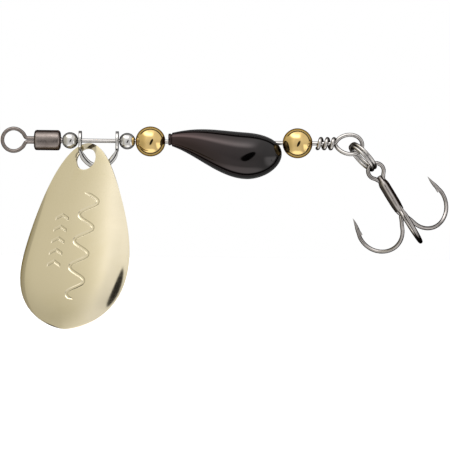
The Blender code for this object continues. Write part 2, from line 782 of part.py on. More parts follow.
def hook_braze(material, parent):
    """Braze that ties the three shanks: a rounded triangle with a bore for each."""
    reach = HOOK_WIRE / 2 + BRAZE_FIT + BRAZE_SKIN
    places = shank_places()
    corner_steps = 8
    outline = []
    for place in (places[0], places[2], places[1]):
        facing = math.atan2(place.z, place.y)
        for i in range(corner_steps + 1):
            turn = facing + math.radians(120 * i / corner_steps - 60)
            outline.append(
                (place.y + reach * math.cos(turn), place.z + reach * math.sin(turn))
            )
    bm = bmesh.new()
    loops = []
    for x, shrink in (
        (BRAZE_START, BRAZE_END_SHRINK),
        (BRAZE_START + BRAZE_INTO_EYE, 1.0),
        (BRAZE_START + BRAZE_LENGTH - BRAZE_END_ROUND, 1.0),
        (BRAZE_START + BRAZE_LENGTH, BRAZE_END_SHRINK),
    ):
        loops.append([bm.verts.new((x, y * shrink, z * shrink)) for y, z in outline])
    count = len(outline)
    for first, second in zip(loops, loops[1:]):
        for k in range(count):
            j = (k + 1) % count
            bm.faces.new((first[k], first[j], second[j], second[k]))
    bm.faces.new(loops[0])
    bm.faces.new(loops[-1])
    made = add_object("hook_braze", bm, material, parent)
    middle = BRAZE_START + BRAZE_LENGTH / 2
    shank_bore = HOOK_WIRE + 2 * BRAZE_FIT
    cuts = [(place, shank_bore) for place in places] + [(Vector(), shank_bore * 0.68)]
    for i, (place, width) in enumerate(cuts):
        lie = along_x((middle, place.y, place.z))
        cutter = add_cutter(f"braze_bore_{i + 1}", width, BRAZE_LENGTH * 1.4, material, parent, lie)
        add_boolean(made, cutter)
    return made


def build():
    """Make every piece and hang each on its joint."""
    remove_all()
    gunmetal = make_material("gunmetal_nickel", (0.20, 0.17, 0.16), 0.34, 1.0)
    steel = make_material("bright_wire", (0.62, 0.60, 0.58), 0.22, 1.0)
    nickel = make_material("polished_nickel", (0.78, 0.78, 0.77), 0.12, 1.0)
    gold = make_material("polished_gold", (0.83, 0.60, 0.22), 0.10, 1.0)
    champagne = make_material("champagne_plate", (0.86, 0.80, 0.62), 0.12, 1.0)
    black = make_material("black_nickel", (0.045, 0.035, 0.032), 0.10, 1.0)
    tin = make_material("tinned_hook", (0.36, 0.35, 0.34), 0.30, 1.0)

    front_ring(gunmetal)
    swivel_joint = add_empty("swivel_joint", None, (barrel_start, 0, 0))
    barrel = swivel_barrel(gunmetal, None)
    barrel.parent = swivel_joint
    barrel.location = (-barrel_start, 0, 0)
    shaft_joint = add_empty("shaft_joint", swivel_joint)
    shaft = shaft_wire(steel, shaft_joint)
    shaft.location = (-barrel_start, 0, 0)

    for name, x, diameter, material, sides, rings in (
        ("front_bead", front_bead_x, BEAD_DIAMETER, nickel, 24, 11),
        ("rear_bead", rear_bead_x, BEAD_DIAMETER, nickel, 24, 11),
        ("front_ball", front_ball_x, BALL_DIAMETER, gold, 28, 14),
        ("rear_ball", rear_ball_x, BALL_DIAMETER, gold, 28, 14),
    ):
        ball = bored_ball(diameter, bore, sides, rings)
        add_object(name, ball, material, shaft_joint, (x - barrel_start, 0, 0))

    body_joint = add_empty("body_joint", shaft_joint, (body_x - barrel_start, 0, 0))
    weight_body(black, body_joint)

    clevis_joint = add_empty("clevis_joint", shaft_joint, (clevis_x - barrel_start, 0, 0))
    clevis_turn = add_empty("clevis_turn", clevis_joint, rotation=(-CLEVIS_SWING, 0, 0))
    clevis(nickel, clevis_turn)
    blade_joint = add_empty("blade_joint", clevis_joint)
    blade_joint.matrix_local = (
        Matrix.Translation(BLADE_HANG)
        @ Matrix.Rotation(-BLADE_YAW, 4, "Z")
        @ Matrix.Rotation(-BLADE_LEAN, 4, "X")
        @ Matrix.Rotation(BLADE_ROLL, 4, "Y")
    )
    blade(champagne, blade_joint)

    hang_x = loop_x + LOOP_LENGTH - SPLIT_FROM_LOOP_END
    split_joint = add_empty("split_ring_joint", shaft_joint, (hang_x - barrel_start, 0, 0))
    split_turn = Matrix.Rotation(-SPLIT_DIRECTION, 4, "Y") @ Matrix.Rotation(SPLIT_TILT, 4, "X")
    split_mean = SPLIT_OUTER / 2 - SPLIT_WIRE / 2
    reach = Vector((math.cos(SPLIT_DIRECTION), 0, math.sin(SPLIT_DIRECTION)))
    split_frame = add_empty("split_ring_frame", split_joint)
    split_frame.matrix_local = Matrix.Translation(reach * (split_mean + SPLIT_TO_LOOP)) @ split_turn
    split_ring(steel, split_frame)

    eye_place = reach * (2 * split_mean + SPLIT_TO_LOOP + SPLIT_TO_EYE)
    hook_joint = add_empty("hook_joint", split_joint, eye_place)
    hook_frame = add_empty("hook_frame", hook_joint)
    hook_frame.matrix_local = Matrix.Rotation(-HOOK_DIRECTION, 4, "Y") @ Matrix.Rotation(
        HOOK_TILT, 4, "Z"
    )
    double_hook(tin, hook_frame)
    third_hook(tin, hook_frame)
    hook_braze(tin, hook_frame)


build()
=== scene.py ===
import bisect
import math

import bmesh
import bpy
from mathutils import Matrix, Vector


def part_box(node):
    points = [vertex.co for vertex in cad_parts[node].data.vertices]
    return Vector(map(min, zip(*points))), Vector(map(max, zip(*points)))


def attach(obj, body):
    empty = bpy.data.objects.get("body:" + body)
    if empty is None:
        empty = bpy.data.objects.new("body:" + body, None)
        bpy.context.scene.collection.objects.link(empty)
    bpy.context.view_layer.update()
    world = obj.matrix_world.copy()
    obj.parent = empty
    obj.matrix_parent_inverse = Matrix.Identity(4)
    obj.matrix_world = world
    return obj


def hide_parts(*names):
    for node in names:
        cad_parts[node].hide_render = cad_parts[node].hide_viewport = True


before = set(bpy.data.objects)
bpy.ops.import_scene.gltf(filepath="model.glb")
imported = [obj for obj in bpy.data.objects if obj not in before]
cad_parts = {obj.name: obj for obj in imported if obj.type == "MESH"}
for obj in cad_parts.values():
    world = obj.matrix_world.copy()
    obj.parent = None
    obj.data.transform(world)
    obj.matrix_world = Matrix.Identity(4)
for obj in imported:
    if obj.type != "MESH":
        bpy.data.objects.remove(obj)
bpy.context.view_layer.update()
mm = 0.001
fullTurn = 2 * math.pi


def clearSelection():
    active = bpy.context.view_layer.objects.active
    if active and active.mode != "OBJECT":
        bpy.ops.object.mode_set(mode="OBJECT")
    bpy.ops.object.select_all(action="DESELECT")


def workOn(piece):
    clearSelection()
    bpy.context.view_layer.objects.active = piece
    piece.select_set(True)


def startEdit(piece, what="VERT"):
    workOn(piece)
    bpy.ops.object.mode_set(mode="EDIT")
    bpy.ops.mesh.select_mode(type=what)
    bpy.ops.mesh.select_all(action="DESELECT")


def pick(piece, what, wanted):
    # selects vertices, edges or faces by their place, and leaves edit mode on
    startEdit(piece, what)
    shape = bmesh.from_edit_mesh(piece.data)
    items = {"VERT": shape.verts, "EDGE": shape.edges, "FACE": shape.faces}[what]
    for item in items:
        if wanted(item):
            item.select_set(True)
    bmesh.update_edit_mesh(piece.data)


def endEdit():
    bpy.ops.object.mode_set(mode="OBJECT")


def closeUp(piece):
    # doubles go, then every face is turned outwards
    startEdit(piece)
    bpy.ops.mesh.select_all(action="SELECT")
    bpy.ops.mesh.remove_doubles(threshold=0.0005 * mm)
    bpy.ops.mesh.normals_make_consistent(inside=False)
    endEdit()


def useModifier(piece, kind, **settings):
    workOn(piece)
    modifier = piece.modifiers.new(kind.lower(), kind)
    for name, value in settings.items():
        setattr(modifier, name, value)
    bpy.ops.object.modifier_apply(modifier=modifier.name)


def easeEdges(piece, width, segments, sharperThan):
    limit = math.radians(sharperThan)
    useModifier(
        piece, "BEVEL", width=width * mm, segments=segments, limit_method="ANGLE", angle_limit=limit
    )


def cutWith(piece, cutter, operation="DIFFERENCE"):
    useModifier(piece, "BOOLEAN", object=cutter, operation=operation, solver="EXACT")
    bpy.data.objects.remove(cutter, do_unlink=True)


def settle(piece, angle=40):
    # place, turn and size go into the mesh, and the shading breaks only at real edges
    workOn(piece)
    bpy.ops.object.transform_apply(location=True, rotation=True, scale=True)
    bpy.ops.object.shade_smooth_by_angle(angle=math.radians(angle))


def moveMesh(piece, matrix):
    piece.data.transform(matrix)
    piece.data.update()


def finishPiece(piece, name, body, nodes, material):
    piece.name = name
    piece.data.name = name
    piece.data.materials.clear()
    piece.data.materials.append(material)
    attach(piece, body)
    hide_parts(*nodes)
    boxes = [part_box(node) for node in nodes]
    low = [min(b[0][i] for b in boxes) for i in range(3)]
    high = [max(b[1][i] for b in boxes) for i in range(3)]
    spots = [v.co for v in piece.data.vertices]
    off = [min(p[i] for p in spots) - low[i] for i in range(3)]
    off += [max(p[i] for p in spots) - high[i] for i in range(3)]
    print(name, len(piece.data.polygons), "faces, off its solid by", [round(v / mm, 2) for v in off])


def smoothStep(t):
    t = min(max(t, 0.0), 1.0)
    return t * t * (3 - 2 * t)


def wireAlong(points, width, widths=None, rounds=4):
    # a round wire: a curve with a bevel, made a mesh
    bpy.ops.curve.primitive_bezier_curve_add(location=(0, 0, 0))
    wire = bpy.context.object
    curve = wire.data
    curve.splines.clear()
    line = curve.splines.new("POLY")
    line.points.add(len(points) - 1)
    for i, place in enumerate(points):
        line.points[i].co = (*place, 1)
        line.points[i].radius = widths[i] if widths else 1.0
    curve.dimensions = "3D"
    curve.twist_mode = "MINIMUM"
    curve.bevel_depth = width / 2
    curve.bevel_resolution = rounds
    curve.use_fill_caps = True
    workOn(wire)
    bpy.ops.object.convert(target="MESH")
    wire = bpy.context.object
    closeUp(wire)
    return wire


def spinOutline(outline, steps=96):
    # (x, radius) pairs are drawn point by point, then spun round the X axis
    x, radius = outline[0]
    clearSelection()
    bpy.ops.mesh.primitive_plane_add(size=0.05 * mm, location=(0, 0, 0))
    piece = bpy.context.object
    startEdit(piece)
    bpy.ops.mesh.select_all(action="SELECT")
    bpy.ops.mesh.merge(type="CENTER")
    bpy.ops.transform.translate(value=(x, 0, radius))
    for nextX, nextRadius in outline[1:] + outline[:1]:
        step = (nextX - x, 0, nextRadius - radius)
        bpy.ops.mesh.extrude_region_move(TRANSFORM_OT_translate={"value": step})
        x, radius = nextX, nextRadius
    bpy.ops.mesh.select_all(action="SELECT")
    bpy.ops.mesh.remove_doubles(threshold=0.0005 * mm)
    bpy.ops.mesh.spin(steps=steps, angle=fullTurn, center=(0, 0, 0), axis=(1, 0, 0))
    endEdit()
    closeUp(piece)
    return piece


def stackRings(around, steps, fill="NGON"):
    # a circle is extruded upwards ring by ring, and its rings are set in their places later
    clearSelection()
    bpy.ops.mesh.primitive_circle_add(vertices=around, radius=1.0, fill_type=fill)
    made = bpy.context.object
    startEdit(made, "FACE" if fill == "NGON" else "VERT")
    bpy.ops.mesh.select_all(action="SELECT")
    for _ in range(steps):
        bpy.ops.mesh.extrude_region_move(TRANSFORM_OT_translate={"value": (0, 0, 1)})
    endEdit()
    return made


def boreAlong(piece, middleX, length):
    # the hole that the shaft runs through
    clearSelection()
    bpy.ops.mesh.primitive_cylinder_add(
        vertices=48,
        radius=fit["bore"] / 2 * mm,
        depth=length * mm,
        location=(middleX, 0, 0),
        rotation=(0, math.pi / 2, 0),
    )
    cutWith(piece, bpy.context.object)


def evenly(points, spacing):
    # the same route with points at an even spacing
    points = [Vector(p) for p in points]
    out = [points[0]]
    left = spacing
    for a, b in zip(points, points[1:]):
        length = (b - a).length
        at = left
        while at <= length:
            out.append(a.lerp(b, at / length))
            at += spacing
        left = at - length
    if (out[-1] - points[-1]).length > spacing * 0.3:
        out.append(points[-1])
    return out


def softened(points, passes):
    # softens the corners of a route, ends kept
    points = [Vector(p) for p in points]
    for _ in range(passes):
        inner = [(a + 2 * b + c) / 4 for a, b, c in zip(points, points[1:], points[2:])]
        points = [points[0]] + inner + [points[-1]]
    return points


def addGroup(name, inputs, outputs):
    group = bpy.data.node_groups.new(name, "ShaderNodeTree")
    for label, kind, value in inputs:
        socket = group.interface.new_socket(name=label, in_out="INPUT", socket_type=kind)
        socket.default_value = value
    for label, kind in outputs:
        group.interface.new_socket(name=label, in_out="OUTPUT", socket_type=kind)
    return group, group.nodes.new("NodeGroupInput"), group.nodes.new("NodeGroupOutput")


def addNode(tree, kind, settings=None, **inputs):
    node = tree.nodes.new(kind)
    for name, value in (settings or {}).items():
        setattr(node, name, value)
    for name, value in inputs.items():
        # i0, i1 and so on give an input by its number
        numbered = name[0] == "i" and name[1:].isdigit()
        socket = node.inputs[int(name[1:]) if numbered else name]
        if isinstance(value, bpy.types.NodeSocket):
            tree.links.new(value, socket)
        else:
            socket.default_value = value
    return node


def math1(tree, operation, a, b=0.0, clamp=False):
    node = addNode(tree, "ShaderNodeMath", {"operation": operation, "use_clamp": clamp}, i0=a, i1=b)
    return node.outputs[0]


def useGroup(tree, group, **inputs):
    return addNode(tree, "ShaderNodeGroup", {"node_tree": group}, **inputs)


def remap(tree, value, low, high, fromValue=0.0, toValue=1.0, kind="SMOOTHSTEP"):
    settings = {"interpolation_type": kind}
    ends = {"i1": low, "i2": high, "i3": fromValue, "i4": toValue}
    return addNode(tree, "ShaderNodeMapRange", settings, i0=value, **ends).outputs[0]


def mixColours(tree, share, first, second):
    return addNode(tree, "ShaderNodeMix", {"data_type": "RGBA"}, i0=share, i6=first, i7=second).outputs[2]


def makeScratches():
    # fine wiping marks: streaked noise varies the roughness and lifts the surface a little
    group, gets, gives = addGroup(
        "wipingMarks",
        [
            ("Scale", "NodeSocketFloat", 2000.0),
            ("Streak", "NodeSocketFloat", 8.0),
            ("Smooth", "NodeSocketFloat", 0.1),
            ("Rough", "NodeSocketFloat", 0.3),
        ],
        [("Roughness", "NodeSocketFloat"), ("Height", "NodeSocketFloat")],
    )
    place = addNode(group, "ShaderNodeTexCoord").outputs["Object"]
    across = math1(group, "MULTIPLY", gets.outputs["Scale"], gets.outputs["Streak"])
    scale = gets.outputs["Scale"]
    size = addNode(group, "ShaderNodeCombineXYZ", X=scale, Y=across, Z=across).outputs[0]
    product = {"operation": "MULTIPLY"}
    streaked = addNode(group, "ShaderNodeVectorMath", product, i0=place, i1=size).outputs[0]
    fine = addNode(group, "ShaderNodeTexNoise", Vector=streaked, Scale=1.0, Detail=4.0).outputs[0]
    scaled = {"operation": "SCALE"}
    wider = addNode(group, "ShaderNodeVectorMath", scaled, i0=place, Scale=scale).outputs[0]
    broad = addNode(group, "ShaderNodeTexNoise", Vector=wider, Scale=0.35, Detail=2.0).outputs[0]
    both = math1(group, "MULTIPLY", fine, broad)
    smooth, rough = gets.outputs["Smooth"], gets.outputs["Rough"]
    spread = remap(group, both, 0.12, 0.42, smooth, rough, "LINEAR")
    group.links.new(spread, gives.inputs["Roughness"])
    group.links.new(fine, gives.inputs["Height"])
    return group


def makeTarnish():
    # cloudy patches where the plating has dulled
    group, gets, gives = addGroup(
        "dulledPatches",
        [
            ("Clean", "NodeSocketColor", (0.8, 0.8, 0.8, 1)),
            ("Dull", "NodeSocketColor", (0.5, 0.5, 0.5, 1)),
            ("Scale", "NodeSocketFloat", 400.0),
            ("Amount", "NodeSocketFloat", 0.5),
        ],
        [("Color", "NodeSocketColor"), ("Mask", "NodeSocketFloat")],
    )
    place = addNode(group, "ShaderNodeTexCoord").outputs["Object"]
    cloud = addNode(
        group,
        "ShaderNodeTexNoise",
        Vector=place,
        Scale=gets.outputs["Scale"],
        Detail=5.0,
        Roughness=0.62,
        Distortion=0.6,
    ).outputs[0]
    mask = math1(group, "MULTIPLY", remap(group, cloud, 0.40, 0.70), gets.outputs["Amount"], True)
    mixed = mixColours(group, mask, gets.outputs["Clean"], gets.outputs["Dull"])
    group.links.new(mixed, gives.inputs["Color"])
    group.links.new(mask, gives.inputs["Mask"])
    return group


def makeEdgeShine():
    # edges that handling has rubbed brighter
    group, gets, gives = addGroup(
        "rubbedEdges",
        [
            ("Color", "NodeSocketColor", (0.8, 0.8, 0.8, 1)),
            ("Bright", "NodeSocketColor", (1, 1, 1, 1)),
            ("Amount", "NodeSocketFloat", 0.5),
        ],
        [("Color", "NodeSocketColor")],
    )
    point = addNode(group, "ShaderNodeNewGeometry").outputs["Pointiness"]
    mask = math1(group, "MULTIPLY", remap(group, point, 0.52, 0.62), gets.outputs["Amount"], True)
    mixed = mixColours(group, mask, gets.outputs["Color"], gets.outputs["Bright"])
    group.links.new(mixed, gives.inputs["Color"])
    return group


motif = {
    "map": 30.0,
    "depth": 0.11,
    "line": 0.27,
    "soft": 0.1,
    "waveAcross": 2.2,
    "waveFrom": 7.8,
    "waveTo": 24.0,
    "waveHigh": 1.35,
    "wavePitch": 4.05,
    "chevronAcross": -2.1,
    "chevronFrom": 10.8,
    "chevronTo": 19.8,
    "chevronPitch": 1.8,
    "chevronHalf": 1.15,
    "chevronSlope": 0.5,
    "chevronStart": 0.3,
}


def makeMotif():
    # a plain motif pressed in the face: one long wave and a column of chevrons beside it
    group, _, gives = addGroup("pressedMotif", [], [("Height", "NodeSocketFloat")])

    def calc(operation, first, second=0.0):
        return math1(group, operation, first, second)

    place = addNode(group, "ShaderNodeUVMap", {"uv_map": "bladeFace"}).outputs[0]
    across, down, _ = addNode(group, "ShaderNodeSeparateXYZ", Vector=place).outputs
    across = calc("MULTIPLY", calc("SUBTRACT", across, 0.5), motif["map"])
    down = calc("MULTIPLY", down, motif["map"])
    soft = motif["soft"]

    def between(low, high):
        start = remap(group, down, low - soft, low + soft)
        return calc("MULTIPLY", start, remap(group, down, high - soft, high + soft, 1.0, 0.0))

    def groove(away, mask):
        away = calc("ABSOLUTE", away)
        line = remap(group, away, motif["line"] * 0.4, motif["line"], 1.0, 0.0)
        return calc("MULTIPLY", line, mask)

    perTurn = fullTurn / motif["wavePitch"]
    turn = calc("MULTIPLY", down, perTurn)
    wave = calc("MULTIPLY", calc("SINE", turn), motif["waveHigh"])
    # the slope of the wave keeps its line even in width
    slope = calc("MULTIPLY", calc("COSINE", turn), motif["waveHigh"] * perTurn)
    steep = calc("SQRT", calc("ADD", calc("MULTIPLY", slope, slope), 1.0))
    away = calc("SUBTRACT", calc("SUBTRACT", across, motif["waveAcross"]), wave)
    away = calc("DIVIDE", away, steep)
    waveLine = groove(away, between(motif["waveFrom"], motif["waveTo"]))
    side = calc("ABSOLUTE", calc("SUBTRACT", across, motif["chevronAcross"]))
    passed = calc("DIVIDE", calc("SUBTRACT", down, motif["chevronFrom"]), motif["chevronPitch"])
    share = calc("SUBTRACT", calc("FRACT", passed), motif["chevronStart"])
    along = calc("MULTIPLY", share, motif["chevronPitch"])
    bent = calc("SUBTRACT", along, calc("MULTIPLY", side, motif["chevronSlope"]))
    within = remap(group, side, motif["chevronHalf"] - soft, motif["chevronHalf"] + soft, 1.0, 0.0)
    mask = calc("MULTIPLY", within, between(motif["chevronFrom"], motif["chevronTo"]))
    evened = calc("MULTIPLY", bent, 0.9)
    both = calc("MAXIMUM", waveLine, groove(evened, mask))
    group.links.new(both, gives.inputs["Height"])
    return group


pressedMotif = makeMotif()
wipingMarks = makeScratches()
dulledPatches = makeTarnish()
rubbedEdges = makeEdgeShine()


def metalFinish(name, **look):
    material = bpy.data.materials.new(name)
    material.use_nodes = True
    tree = material.node_tree
    shader = tree.nodes["Principled BSDF"]
    shader.inputs["Metallic"].default_value = 1.0
    shader.inputs["Specular Tint"].default_value = (*look["edgeTint"], 1)
    shader.inputs["Coat Weight"].default_value = look.get("coat", 0.0)
    shader.inputs["Coat Roughness"].default_value = 0.03
    colours = ("clean", "dull", "bright", "edgeColour")
    clean, dull, bright, edgeColour = ((*look[key], 1) for key in colours)
    patches = useGroup(
        tree, dulledPatches, Clean=clean, Dull=dull, Scale=look["patchScale"], Amount=look["patches"]
    )
    shine = useGroup(
        tree, rubbedEdges, Color=patches.outputs["Color"], Bright=bright, Amount=look["rubbed"]
    )
    plating = shine.outputs["Color"]
    if "fade" in look:
        # the plating changes its colour along the piece
        fadeFrom, fadeTo, fadeColour = look["fade"]
        place = addNode(tree, "ShaderNodeTexCoord").outputs["Object"]
        along = addNode(tree, "ShaderNodeSeparateXYZ", Vector=place).outputs["X"]
        share = remap(tree, along, fadeFrom * mm, fadeTo * mm, kind="LINEAR")
        plating = mixColours(tree, share, (*fadeColour, 1), plating)
    # painted shade: a round wire or ball is painted darker where its surface turns away from the view,
    # standing in for dark reflections at its rims
    facing = addNode(tree, "ShaderNodeLayerWeight", Blend=0.5).outputs["Facing"]
    rimShadeFrom, rimShadeTo, rimShadeAmount = look["edge"]
    away = remap(tree, facing, rimShadeFrom, rimShadeTo, 0.0, rimShadeAmount)
    shaded = mixColours(tree, away, plating, edgeColour)
    marks = useGroup(
        tree,
        wipingMarks,
        Scale=look["markScale"],
        Streak=look["streak"],
        Smooth=look["smooth"],
        Rough=look["rough"],
    )
    height = marks.outputs["Height"]
    bump = addNode(tree, "ShaderNodeBump", Strength=look["lift"], Distance=0.01 * mm, Height=height)
    if "motif" in look:
        pressed = useGroup(tree, look["motif"])
        bump = addNode(
            tree,
            "ShaderNodeBump",
            {"invert": True},
            Strength=1.0,
            Distance=motif["depth"] * mm,
            Height=pressed.outputs["Height"],
            Normal=bump.outputs["Normal"],
        )
    tree.links.new(shaded, shader.inputs["Base Color"])
    tree.links.new(marks.outputs["Roughness"], shader.inputs["Roughness"])
    tree.links.new(bump.outputs["Normal"], shader.inputs["Normal"])
    material.diffuse_color = clean
    return material


# in each finish the edge colour and the edge range give the painted shade at the rims: a dark colour
# mixed in where the surface turns away from the view
gunmetal = metalFinish(
    "satinGunmetal",
    clean=(0.29, 0.25, 0.23),
    dull=(0.19, 0.16, 0.145),
    bright=(0.46, 0.41, 0.38),
    edgeTint=(0.25, 0.22, 0.22),
    edgeColour=(0.045, 0.032, 0.028),
    edge=(0.03, 0.6, 0.93),
    patchScale=900.0,
    patches=0.6,
    rubbed=0.5,
    markScale=1500.0,
    streak=5.0,
    smooth=0.24,
    rough=0.42,
    lift=0.25,
)
brightWire = metalFinish(
    "drawnSteelWire",
    clean=(0.66, 0.635, 0.61),
    dull=(0.46, 0.435, 0.415),
    bright=(0.88, 0.86, 0.83),
    edgeTint=(0.12, 0.11, 0.11),
    edgeColour=(0.11, 0.10, 0.09),
    edge=(0.04, 0.55, 0.92),
    patchScale=900.0,
    patches=0.7,
    rubbed=0.2,
    markScale=900.0,
    streak=9.0,
    smooth=0.10,
    rough=0.30,
    lift=0.2,
)
nickel = metalFinish(
    "polishedNickel",
    clean=(0.70, 0.69, 0.67),
    dull=(0.50, 0.49, 0.47),
    bright=(0.93, 0.92, 0.90),
    edgeTint=(0.08, 0.08, 0.08),
    edgeColour=(0.16, 0.155, 0.15),
    edge=(0.16, 0.8, 0.85),
    patchScale=1100.0,
    patches=0.5,
    rubbed=0.2,
    markScale=1200.0,
    streak=4.0,
    smooth=0.05,
    rough=0.16,
    lift=0.12,
)
gold = metalFinish(
    "goldPlate",
    clean=(0.80, 0.58, 0.245),
    dull=(0.70, 0.47, 0.19),
    bright=(0.95, 0.78, 0.45),
    edgeTint=(0.10, 0.06, 0.02),
    edgeColour=(0.16, 0.085, 0.02),
    edge=(0.45, 1.0, 0.6),
    patchScale=700.0,
    patches=0.4,
    rubbed=0.2,
    markScale=1200.0,
    streak=3.0,
    smooth=0.04,
    rough=0.11,
    lift=0.06,
)
champagne = metalFinish(
    "paleGoldPlate",
    clean=(0.90, 0.81, 0.60),
    dull=(0.86, 0.765, 0.53),
    bright=(0.98, 0.93, 0.78),
    edgeTint=(0.30, 0.26, 0.16),
    edgeColour=(0.45, 0.38, 0.20),
    edge=(0.55, 1.0, 0.5),
    motif=pressedMotif,
    patchScale=110.0,
    patches=0.6,
    rubbed=0.0,
    markScale=500.0,
    streak=6.0,
    smooth=0.08,
    rough=0.15,
    lift=0.05,
)
blackNickel = metalFinish(
    "blackNickelPlate",
    clean=(0.034, 0.032, 0.032),
    dull=(0.027, 0.024, 0.024),
    fade=(25.0, 38.0, (0.040, 0.024, 0.023)),
    bright=(0.08, 0.07, 0.068),
    edgeTint=(0.10, 0.08, 0.08),
    edgeColour=(0.012, 0.008, 0.008),
    edge=(0.5, 1.0, 0.4),
    patchScale=160.0,
    patches=0.7,
    rubbed=0.3,
    markScale=700.0,
    streak=3.0,
    smooth=0.05,
    rough=0.13,
    lift=0.04,
    coat=0.35,
)
tinned = metalFinish(
    "tinnedHookWire",
    clean=(0.60, 0.565, 0.545),
    dull=(0.32, 0.30, 0.285),
    bright=(0.70, 0.68, 0.66),
    edgeTint=(0.08, 0.07, 0.07),
    edgeColour=(0.03, 0.024, 0.02),
    edge=(0.02, 0.42, 0.97),
    patchScale=450.0,
    patches=0.85,
    rubbed=0.3,
    markScale=900.0,
    streak=6.0,
    smooth=0.14,
    rough=0.34,
    lift=0.25,
)
braze = metalFinish(
    "flowedTin",
    clean=(0.55, 0.51, 0.485),
    dull=(0.33, 0.29, 0.27),
    bright=(0.62, 0.59, 0.57),
    edgeTint=(0.06, 0.05, 0.05),
    edgeColour=(0.03, 0.022, 0.018),
    edge=(0.06, 0.6, 0.95),
    patchScale=600.0,
    patches=0.8,
    rubbed=0.2,
    markScale=800.0,
    streak=3.0,
    smooth=0.18,
    rough=0.36,
    lift=0.5,
)
print("finishes made")


ring = {
    "wire": 0.56,
    "outer": 3.95,
    "strandGap": 0.02,
    "leave": 43.0,
    "neck": 0.7,
    "knob": 1.9,
    "knobLength": 0.7,
    "spacing": 0.06,
}
barrel = {
    "start": 3.075,
    "diameter": 3.05,
    "length": 4.0,
    "wall": 0.36,
    "crimp": 0.62,
    "mouthLip": 0.22,
    "neck": 0.96,
    "neckLength": 0.13,
}
fit = {"bore": 0.72, "running": 0.06, "axial": 0.07}


def makeRing():
    # the wire comes out of the barrel as one strand, goes round and returns beside itself
    half = ring["wire"] / 2
    offset = half + ring["strandGap"] / 2
    mean = ring["outer"] / 2 - half
    knobX = barrel["start"] + barrel["crimp"] + fit["axial"]
    leave = math.radians(ring["leave"])
    turnX, turnZ = mean * math.cos(leave), mean * math.sin(leave)
    neckX = turnX + ring["neck"]
    upper = [(knobX + ring["knobLength"] / 2, offset), (neckX, offset)]
    neckSteps, turnSteps = 12, 60
    for i in range(1, neckSteps):
        t = i / neckSteps
        upper.append((neckX + (turnX - neckX) * t, offset + (turnZ - offset) * smoothStep(t)))
    route = list(upper)
    for i in range(turnSteps + 1):
        turn = leave + (fullTurn - 2 * leave) * i / turnSteps
        route.append((mean * math.cos(turn), mean * math.sin(turn)))
    route += [(x, -z) for x, z in reversed(upper)]
    points = evenly([(x * mm, 0, z * mm) for x, z in route], ring["spacing"] * mm)
    points = softened(points, 6)
    loop = wireAlong(points, ring["wire"] * mm)
    head = ring["knob"] / 2
    x = knobX
    outline = [
        (x + 0.001, 0.0),
        (x, ring["wire"] * 0.6),
        (x + 0.05, head * 0.86),
        (x + 0.16, head),
        (x + 0.52, head),
        (x + 0.64, head * 0.9),
        (x + ring["knobLength"], head * 0.6),
        (x + ring["knobLength"] - 0.001, 0.0),
    ]
    knob = spinOutline([(a * mm, b * mm) for a, b in outline], 48)
    cutWith(loop, knob, "UNION")
    settle(loop, 45)
    finishPiece(loop, "ringOfDarkWire", "line_ring", ["line_ring"], gunmetal)


def makeBarrel():
    # a cylinder is hollowed from both ends, then its shoulders are rounded
    start = barrel["start"] * mm
    end = start + barrel["length"] * mm
    outer = barrel["diameter"] / 2 * mm
    inner = outer - barrel["wall"] * mm
    mouth = (ring["wire"] + ring["strandGap"] / 2 + fit["running"]) * mm
    bore = fit["bore"] / 2 * mm
    neck = barrel["neck"] / 2 * mm
    neckEnd = end + barrel["neckLength"] * mm
    shoulder = barrel["crimp"] * 0.75 * mm
    lip = mouth + barrel["mouthLip"] * mm
    ease = 0.02 * mm
    outline = [(start, mouth + 1.5 * ease), (start, lip)]
    for i in range(1, 11):
        t = i / 10
        outline.append((start + shoulder * t**1.8, lip + (outer - lip) * (1 - (1 - t) ** 2.2)))
    for i in range(1, 9):
        t = i / 9
        outline.append((start + shoulder + (end - start - 2.1 * shoulder) * t, outer))
    rearRim = outer * 0.60
    for i in range(1, 11):
        t = i / 10
        rearX = end - 1.1 * shoulder * (1 - t) ** 1.5
        outline.append((rearX, rearRim + (outer - rearRim) * (1 - t**2.4)))
    insideFront = start + barrel["crimp"] * 0.6 * mm
    insideRear = end - barrel["crimp"] * 0.6 * mm
    taper = barrel["wall"] / 2 * mm
    outline += [
        (end, neck + ease),
        (end + ease / 2, neck),
        (neckEnd - ease, neck),
        (neckEnd, neck - 1.5 * ease),
        (neckEnd, bore + ease),
        (neckEnd - ease, bore),
        (insideRear, bore),
        (insideRear - taper, inner),
        (insideFront + taper, inner),
        (insideFront, mouth),
        (start + 1.5 * ease, mouth),
    ]
    shell = spinOutline(outline, 96)
    settle(shell, 50)
    finishPiece(shell, "crimpedBarrel", "swivel_barrel", ["swivel_barrel"], gunmetal)


makeRing()
makeBarrel()
print("ring and swivel made")


wire = {
    "thickness": 0.6,
    "head": 1.7,
    "headLength": 0.6,
    "loopLength": 4.05,
    "loopHeight": 1.6,
    "loopDrop": 0.14,
    "neckSharpness": 0.3,
    "wrapTurns": 2.75,
    "wrapPitch": 0.98,
    "wrapGap": 0.13,
    "fromBall": 0.75,
    "spacing": 0.07,
    "nipped": 0.86,
}


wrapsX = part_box("rear_ball")[1][0] + wire["fromBall"] * mm
loopX = wrapsX + wire["wrapTurns"] * wire["wrapPitch"] * mm


def loopPoint(turn):
    sweep = wire["loopLength"] * (1 - math.cos(turn)) / 2
    rise = math.sin(turn) * math.sin(turn / 2) ** wire["neckSharpness"]
    passing = smoothStep((turn - 1.35 * math.pi) / (0.65 * math.pi))
    behind = (wire["thickness"] + wire["wrapGap"]) * passing
    high = wire["loopHeight"] * rise - wire["loopDrop"] * math.sin(turn / 2) ** 2
    return Vector((loopX + sweep * mm, behind * mm, high * mm))


